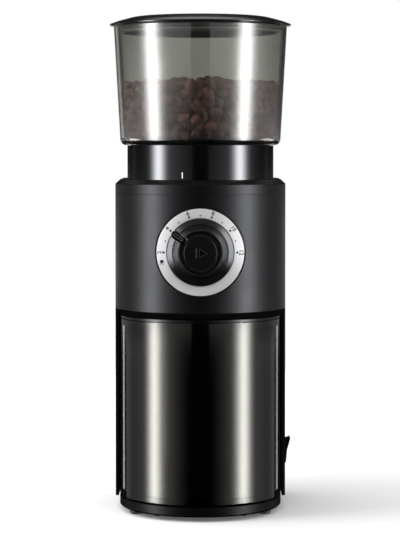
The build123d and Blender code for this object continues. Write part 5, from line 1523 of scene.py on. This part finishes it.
@dataclass
class GroundsContainer:
    """The see-through cup that catches the ground coffee, in millimetres."""

    radius: float = 57.75
    wall: float = 3.1
    bottom: float = 10.15
    top: float = 138.2
    floor: float = 4.0

    def build(self) -> None:
        """Make the cup, turned with a tight outer corner and a rounder one inside."""
        bore = self.radius - self.wall
        level = self.bottom + self.floor
        corners = [
            Corner(0.0, self.bottom), Corner(self.radius, self.bottom, 1.8), Corner(self.radius, self.top, 0.4),
            Corner(bore, self.top, 0.4), Corner(bore, level, 2.4), Corner(0.0, level)]
        cup = turned("container_cup", corners, SMOKED_DARK, 6)
        settle(cup, "container", "smoked_clear", "grounds_container")


@dataclass
class SettingMark:
    """The white mark printed on the neck, in millimetres and degrees."""

    radius: float = 52.3
    angle: float = -13.9
    low: float = 238.3
    high: float = 242.5
    width: float = 0.8
    thickness: float = 0.06

    def build(self) -> None:
        """Make the mark."""
        side, face = self.width / 2, self.thickness / 2
        mesh = bevelled(box_mesh((-side, -face, self.low), (side, face, self.high)), 0.02, 1)
        turn = Matrix.Rotation(math.radians(self.angle), 4, "Z")
        place = turn @ Matrix.Translation((0, -self.radius * MM, 0))
        settle(finished("setting_mark", mesh, WHITE_INK, Edge.CRISP, place), "neck", "dial_silver")


# ---------------------------------------------------------------- studio
# What the grinder mirrors and shows through, as levels at degrees from straight in front of it.
ROOM: Levels = ((0, 0.01), (8, 0.02), (12, 0.06), (15, 0.15), (20, 0.19), (28, 0.28), (36, 0.42), (43, 0.56),
                (50, 0.62), (80, 0.50), (90, 0.28), (100, 0.11), (112, 0.045), (120, 0.04), (127, 0.08),
                (133, 0.06), (137, 0.02), (180, 0.02))
LOW_ROOM: Levels = ((0, 0.0), (12, 0.0), (15, 0.01), (20, 0.06), (24, 0.13), (28, 0.22), (33, 0.38), (38, 0.58),
                    (42, 0.75), (50, 0.95), (80, 0.80), (88, 0.68), (94, 0.62), (101, 0.46), (108, 0.36),
                    (115, 0.30), (124, 0.40), (130, 0.40), (134, 0.02), (180, 0.02))
SCREEN: Levels = ((-180, 1.0), (-171, 1.0), (-169, 0.12), (-165, 0.12), (-163, 1.0), (-149, 1.0),
                  (-145, 0.04), (166, 0.04), (168, 1.0), (180, 1.0))
LOW_SCREEN: Levels = ((-180, 0.8), (-172, 0.8), (-170, 0.02), (-167, 0.02), (-165, 1.0), (-147, 1.0),
                      (-144, 0.02), (144, 0.02), (147, 0.8), (180, 0.8))


@dataclass
class Surroundings:
    """The light all round: white for the camera, plain for matt surfaces, a dark studio for gloss.

    Sides are degrees from straight in front. Heights are a direction's share upwards, from -1 to 1.
    """

    ambient: float = 0.9
    strip_level: float = 16.0
    strip_width: float = 10.0
    strip_left: float = -69.0
    strip_right: float = 64.5
    strip_foot: Point = (-0.5, -0.3)
    strip_head: Point = (0.75, 0.5)
    room_turns_low: Point = (-0.090, -0.100)
    crown_level: float = 0.7
    crown_from: float = 140.0
    crown_height: float = 0.60
    crown_width: float = 0.10
    far_floor_level: float = 0.9
    far_floor_from: float = 12.5
    far_floor_height: float = -0.060
    far_floor_width: float = 0.026
    ceiling_level: float = 0.4
    ceiling_height: Point = (0.75, 0.95)
    ground_height: Point = (-0.45, -0.22)
    ground_share: float = 0.06
    screen_turns_low: Point = (-0.02, -0.05)
    screen_dims: Point = (0.12, 0.30)
    screen_top_share: float = 0.15
    low_screen_level: float = 2.0

    def __post_init__(self) -> None:
        """Make the world and read the direction: the angle from straight in front, and the height."""
        world = bpy.data.worlds.new("studio")
        world.use_nodes = True
        bpy.context.scene.world = world
        self.graph = Graph(world.node_tree)
        towards = self.graph.add("ShaderNodeTexCoord").outputs["Generated"]
        across, along, self.up = self.graph.add("ShaderNodeSeparateXYZ", {0: towards}).outputs
        self.azimuth = self.graph.math("ARCTAN2", across, self.graph.math("MULTIPLY", along, -1.0))

    def by_angle(self, angle: Socket, levels: Levels) -> Socket:
        """Levels that follow an angle.

        Args:
            angle: The socket of the angle in radians.
            levels: Degrees and levels, from the first angle to the last.

        Returns:
            The level's socket.
        """
        first, last = levels[0][0], levels[-1][0]
        place = self.graph.span(angle, math.radians(first), math.radians(last))
        stops = [((degrees - first) / (last - first), level) for degrees, level in levels]
        return self.graph.ramp(place, stops)

    def strips(self) -> Socket:
        """Two tall soft boxes, which gloss and clear plastic show as light strips.

        Returns:
            Their light's socket.
        """
        graph, up = self.graph, self.up
        boxes = graph.math("ADD", *(
            graph.hump(self.azimuth, math.radians(side), math.radians(self.strip_width))
            for side in (self.strip_left, self.strip_right)))
        window = graph.math("MULTIPLY", graph.span(up, *self.strip_foot), graph.span(up, *self.strip_head))
        return graph.math("MULTIPLY", graph.math("MULTIPLY", boxes, window), self.strip_level)

    def mirrored(self, strips: Socket) -> Socket:
        """What gloss mirrors: a dark room with the boxes, a pale ceiling and a glimpse of far floor.

        Args:
            strips: The socket of the boxes' light.

        Returns:
            The light's socket.
        """
        graph, up = self.graph, self.up
        aside = graph.math("ABSOLUTE", self.azimuth)
        under = graph.span(up, *self.room_turns_low)
        room = graph.mix(under, self.by_angle(aside, ROOM), self.by_angle(aside, LOW_ROOM))
        behind = graph.math("GREATER_THAN", aside, math.radians(self.crown_from))
        crown = graph.math("MULTIPLY", graph.hump(up, self.crown_height, self.crown_width), behind)
        beside = graph.math("GREATER_THAN", aside, math.radians(self.far_floor_from))
        far_floor = graph.math("MULTIPLY", graph.hump(up, self.far_floor_height, self.far_floor_width), beside)
        raised = graph.math("MULTIPLY_ADD", crown, self.crown_level, room)
        shown = graph.math("ADD", graph.math("MULTIPLY_ADD", far_floor, self.far_floor_level, raised), strips)
        ceiling = graph.span(up, *self.ceiling_height)
        kept = graph.math("MULTIPLY", graph.math("SUBTRACT", 1.0, ceiling),
                          graph.span(up, *self.ground_height, self.ground_share, 1.0))
        return graph.math("MULTIPLY_ADD", ceiling, self.ceiling_level, graph.math("MULTIPLY", shown, kept))

    def seen_through(self, strips: Socket) -> Socket:
        """What clear plastic shows: a pale screen behind it, with dark gaps and a dim top, and the boxes.

        Args:
            strips: The socket of the boxes' light.

        Returns:
            The light's socket.
        """
        graph, up = self.graph, self.up
        low_screen = graph.math("MULTIPLY", self.by_angle(self.azimuth, LOW_SCREEN), self.low_screen_level)
        under = graph.span(up, *self.screen_turns_low)
        screen = graph.mix(under, self.by_angle(self.azimuth, SCREEN), low_screen)
        dimmed = graph.math("MULTIPLY", screen, graph.span(up, *self.screen_dims, 1.0, self.screen_top_share))
        return graph.math("ADD", dimmed, strips)

    def build(self) -> None:
        """Give each kind of ray its light."""
        graph, strips = self.graph, self.strips()
        path = graph.add("ShaderNodeLightPath").outputs
        level = graph.mix(path["Is Camera Ray"], self.ambient, 1.0)
        level = graph.mix(path["Is Glossy Ray"], level, self.mirrored(strips))
        level = graph.mix(path["Is Transmission Ray"], level, self.seen_through(strips))
        light = graph.add("ShaderNodeBackground", {"Color": (1, 1, 1, 1), "Strength": level})
        graph.add("ShaderNodeOutputWorld", {0: light.outputs[0]})


@dataclass
class Studio:
    """Floor, lamps and camera, in metres and degrees."""

    floor_radius: float = 0.9
    camera_distance: float = 1.444
    camera_height: float = 0.261
    lens: float = 135.9
    shift_x: float = -0.00075
    shift_y: float = -0.0980
    tilt: float = 1.95

    def camera(self) -> None:
        """The camera, level with the top of the body and a little tilted down."""
        data = bpy.data.cameras.new("camera")
        data.lens = self.lens
        data.sensor_width = 36.0
        data.shift_x = self.shift_x
        data.shift_y = self.shift_y
        data.clip_end = 50.0
        camera = in_scene("camera", data)
        camera.location = (0.0, -self.camera_distance, self.camera_height)
        camera.rotation_euler = (math.radians(90.0 - self.tilt), 0.0, 0.0)
        bpy.context.scene.camera = camera

    def lamp(self, name: str, spot: Sequence[float], aim: Sequence[float], size: Sequence[float],
             power: float) -> None:
        """A soft lamp that lights matt surfaces; gloss sees the surroundings' soft boxes instead.

        Args:
            name: The lamp's name.
            spot: Where it stands.
            aim: What it points at.
            size: Its width and height.
            power: Its power in watts.
        """
        data = bpy.data.lights.new(name, "AREA")
        data.shape = "RECTANGLE"
        data.size, data.size_y = size
        data.energy = power
        lamp = in_scene(name, data)
        lamp.location = spot
        lamp.rotation_euler = (Vector(aim) - Vector(spot)).to_track_quat("-Z", "Y").to_euler()
        lamp.visible_camera = False
        lamp.visible_glossy = False
        lamp.visible_transmission = False

    def floor(self) -> None:
        """A plain pale floor that keeps the object's shadow."""
        mesh = bmesh.new()
        bmesh.ops.create_circle(mesh, cap_ends=True, segments=96, radius=self.floor_radius)
        floor = with_mesh("floor", mesh)
        floor.data.materials.append(PAPER.material())
        floor.visible_glossy = False
        floor.visible_transmission = False

    def build(self) -> None:
        """Set up the whole studio."""
        self.camera()
        self.floor()
        self.lamp("left_box", (-0.9, -0.25, 0.60), (0, 0, 0.10), (0.5, 0.7), 9.0)
        self.lamp("right_box", (0.85, -0.6, 0.45), (0, 0, 0.16), (0.35, 0.9), 3.0)
        self.lamp("top_box", (-0.25, 0.0, 1.2), (0, 0, 0.1), (0.8, 0.8), 8.0)


def main() -> None:
    """Build the looks of the whole grinder in order."""
    logging.basicConfig(level=logging.INFO, format="%(name)s: %(message)s")
    bpy.context.scene.view_settings.view_transform = "Standard"
    Surroundings().build()
    Studio().build()
    CadNodes().dress()
    rings = RingOfParts()
    Hopper().build(rings, BeanPile())
    QuantityDial().build(rings)
    SettingMark().build()
    MouldedShells().build()
    GroundsContainer().build()


if __name__ == "__main__":
    main()
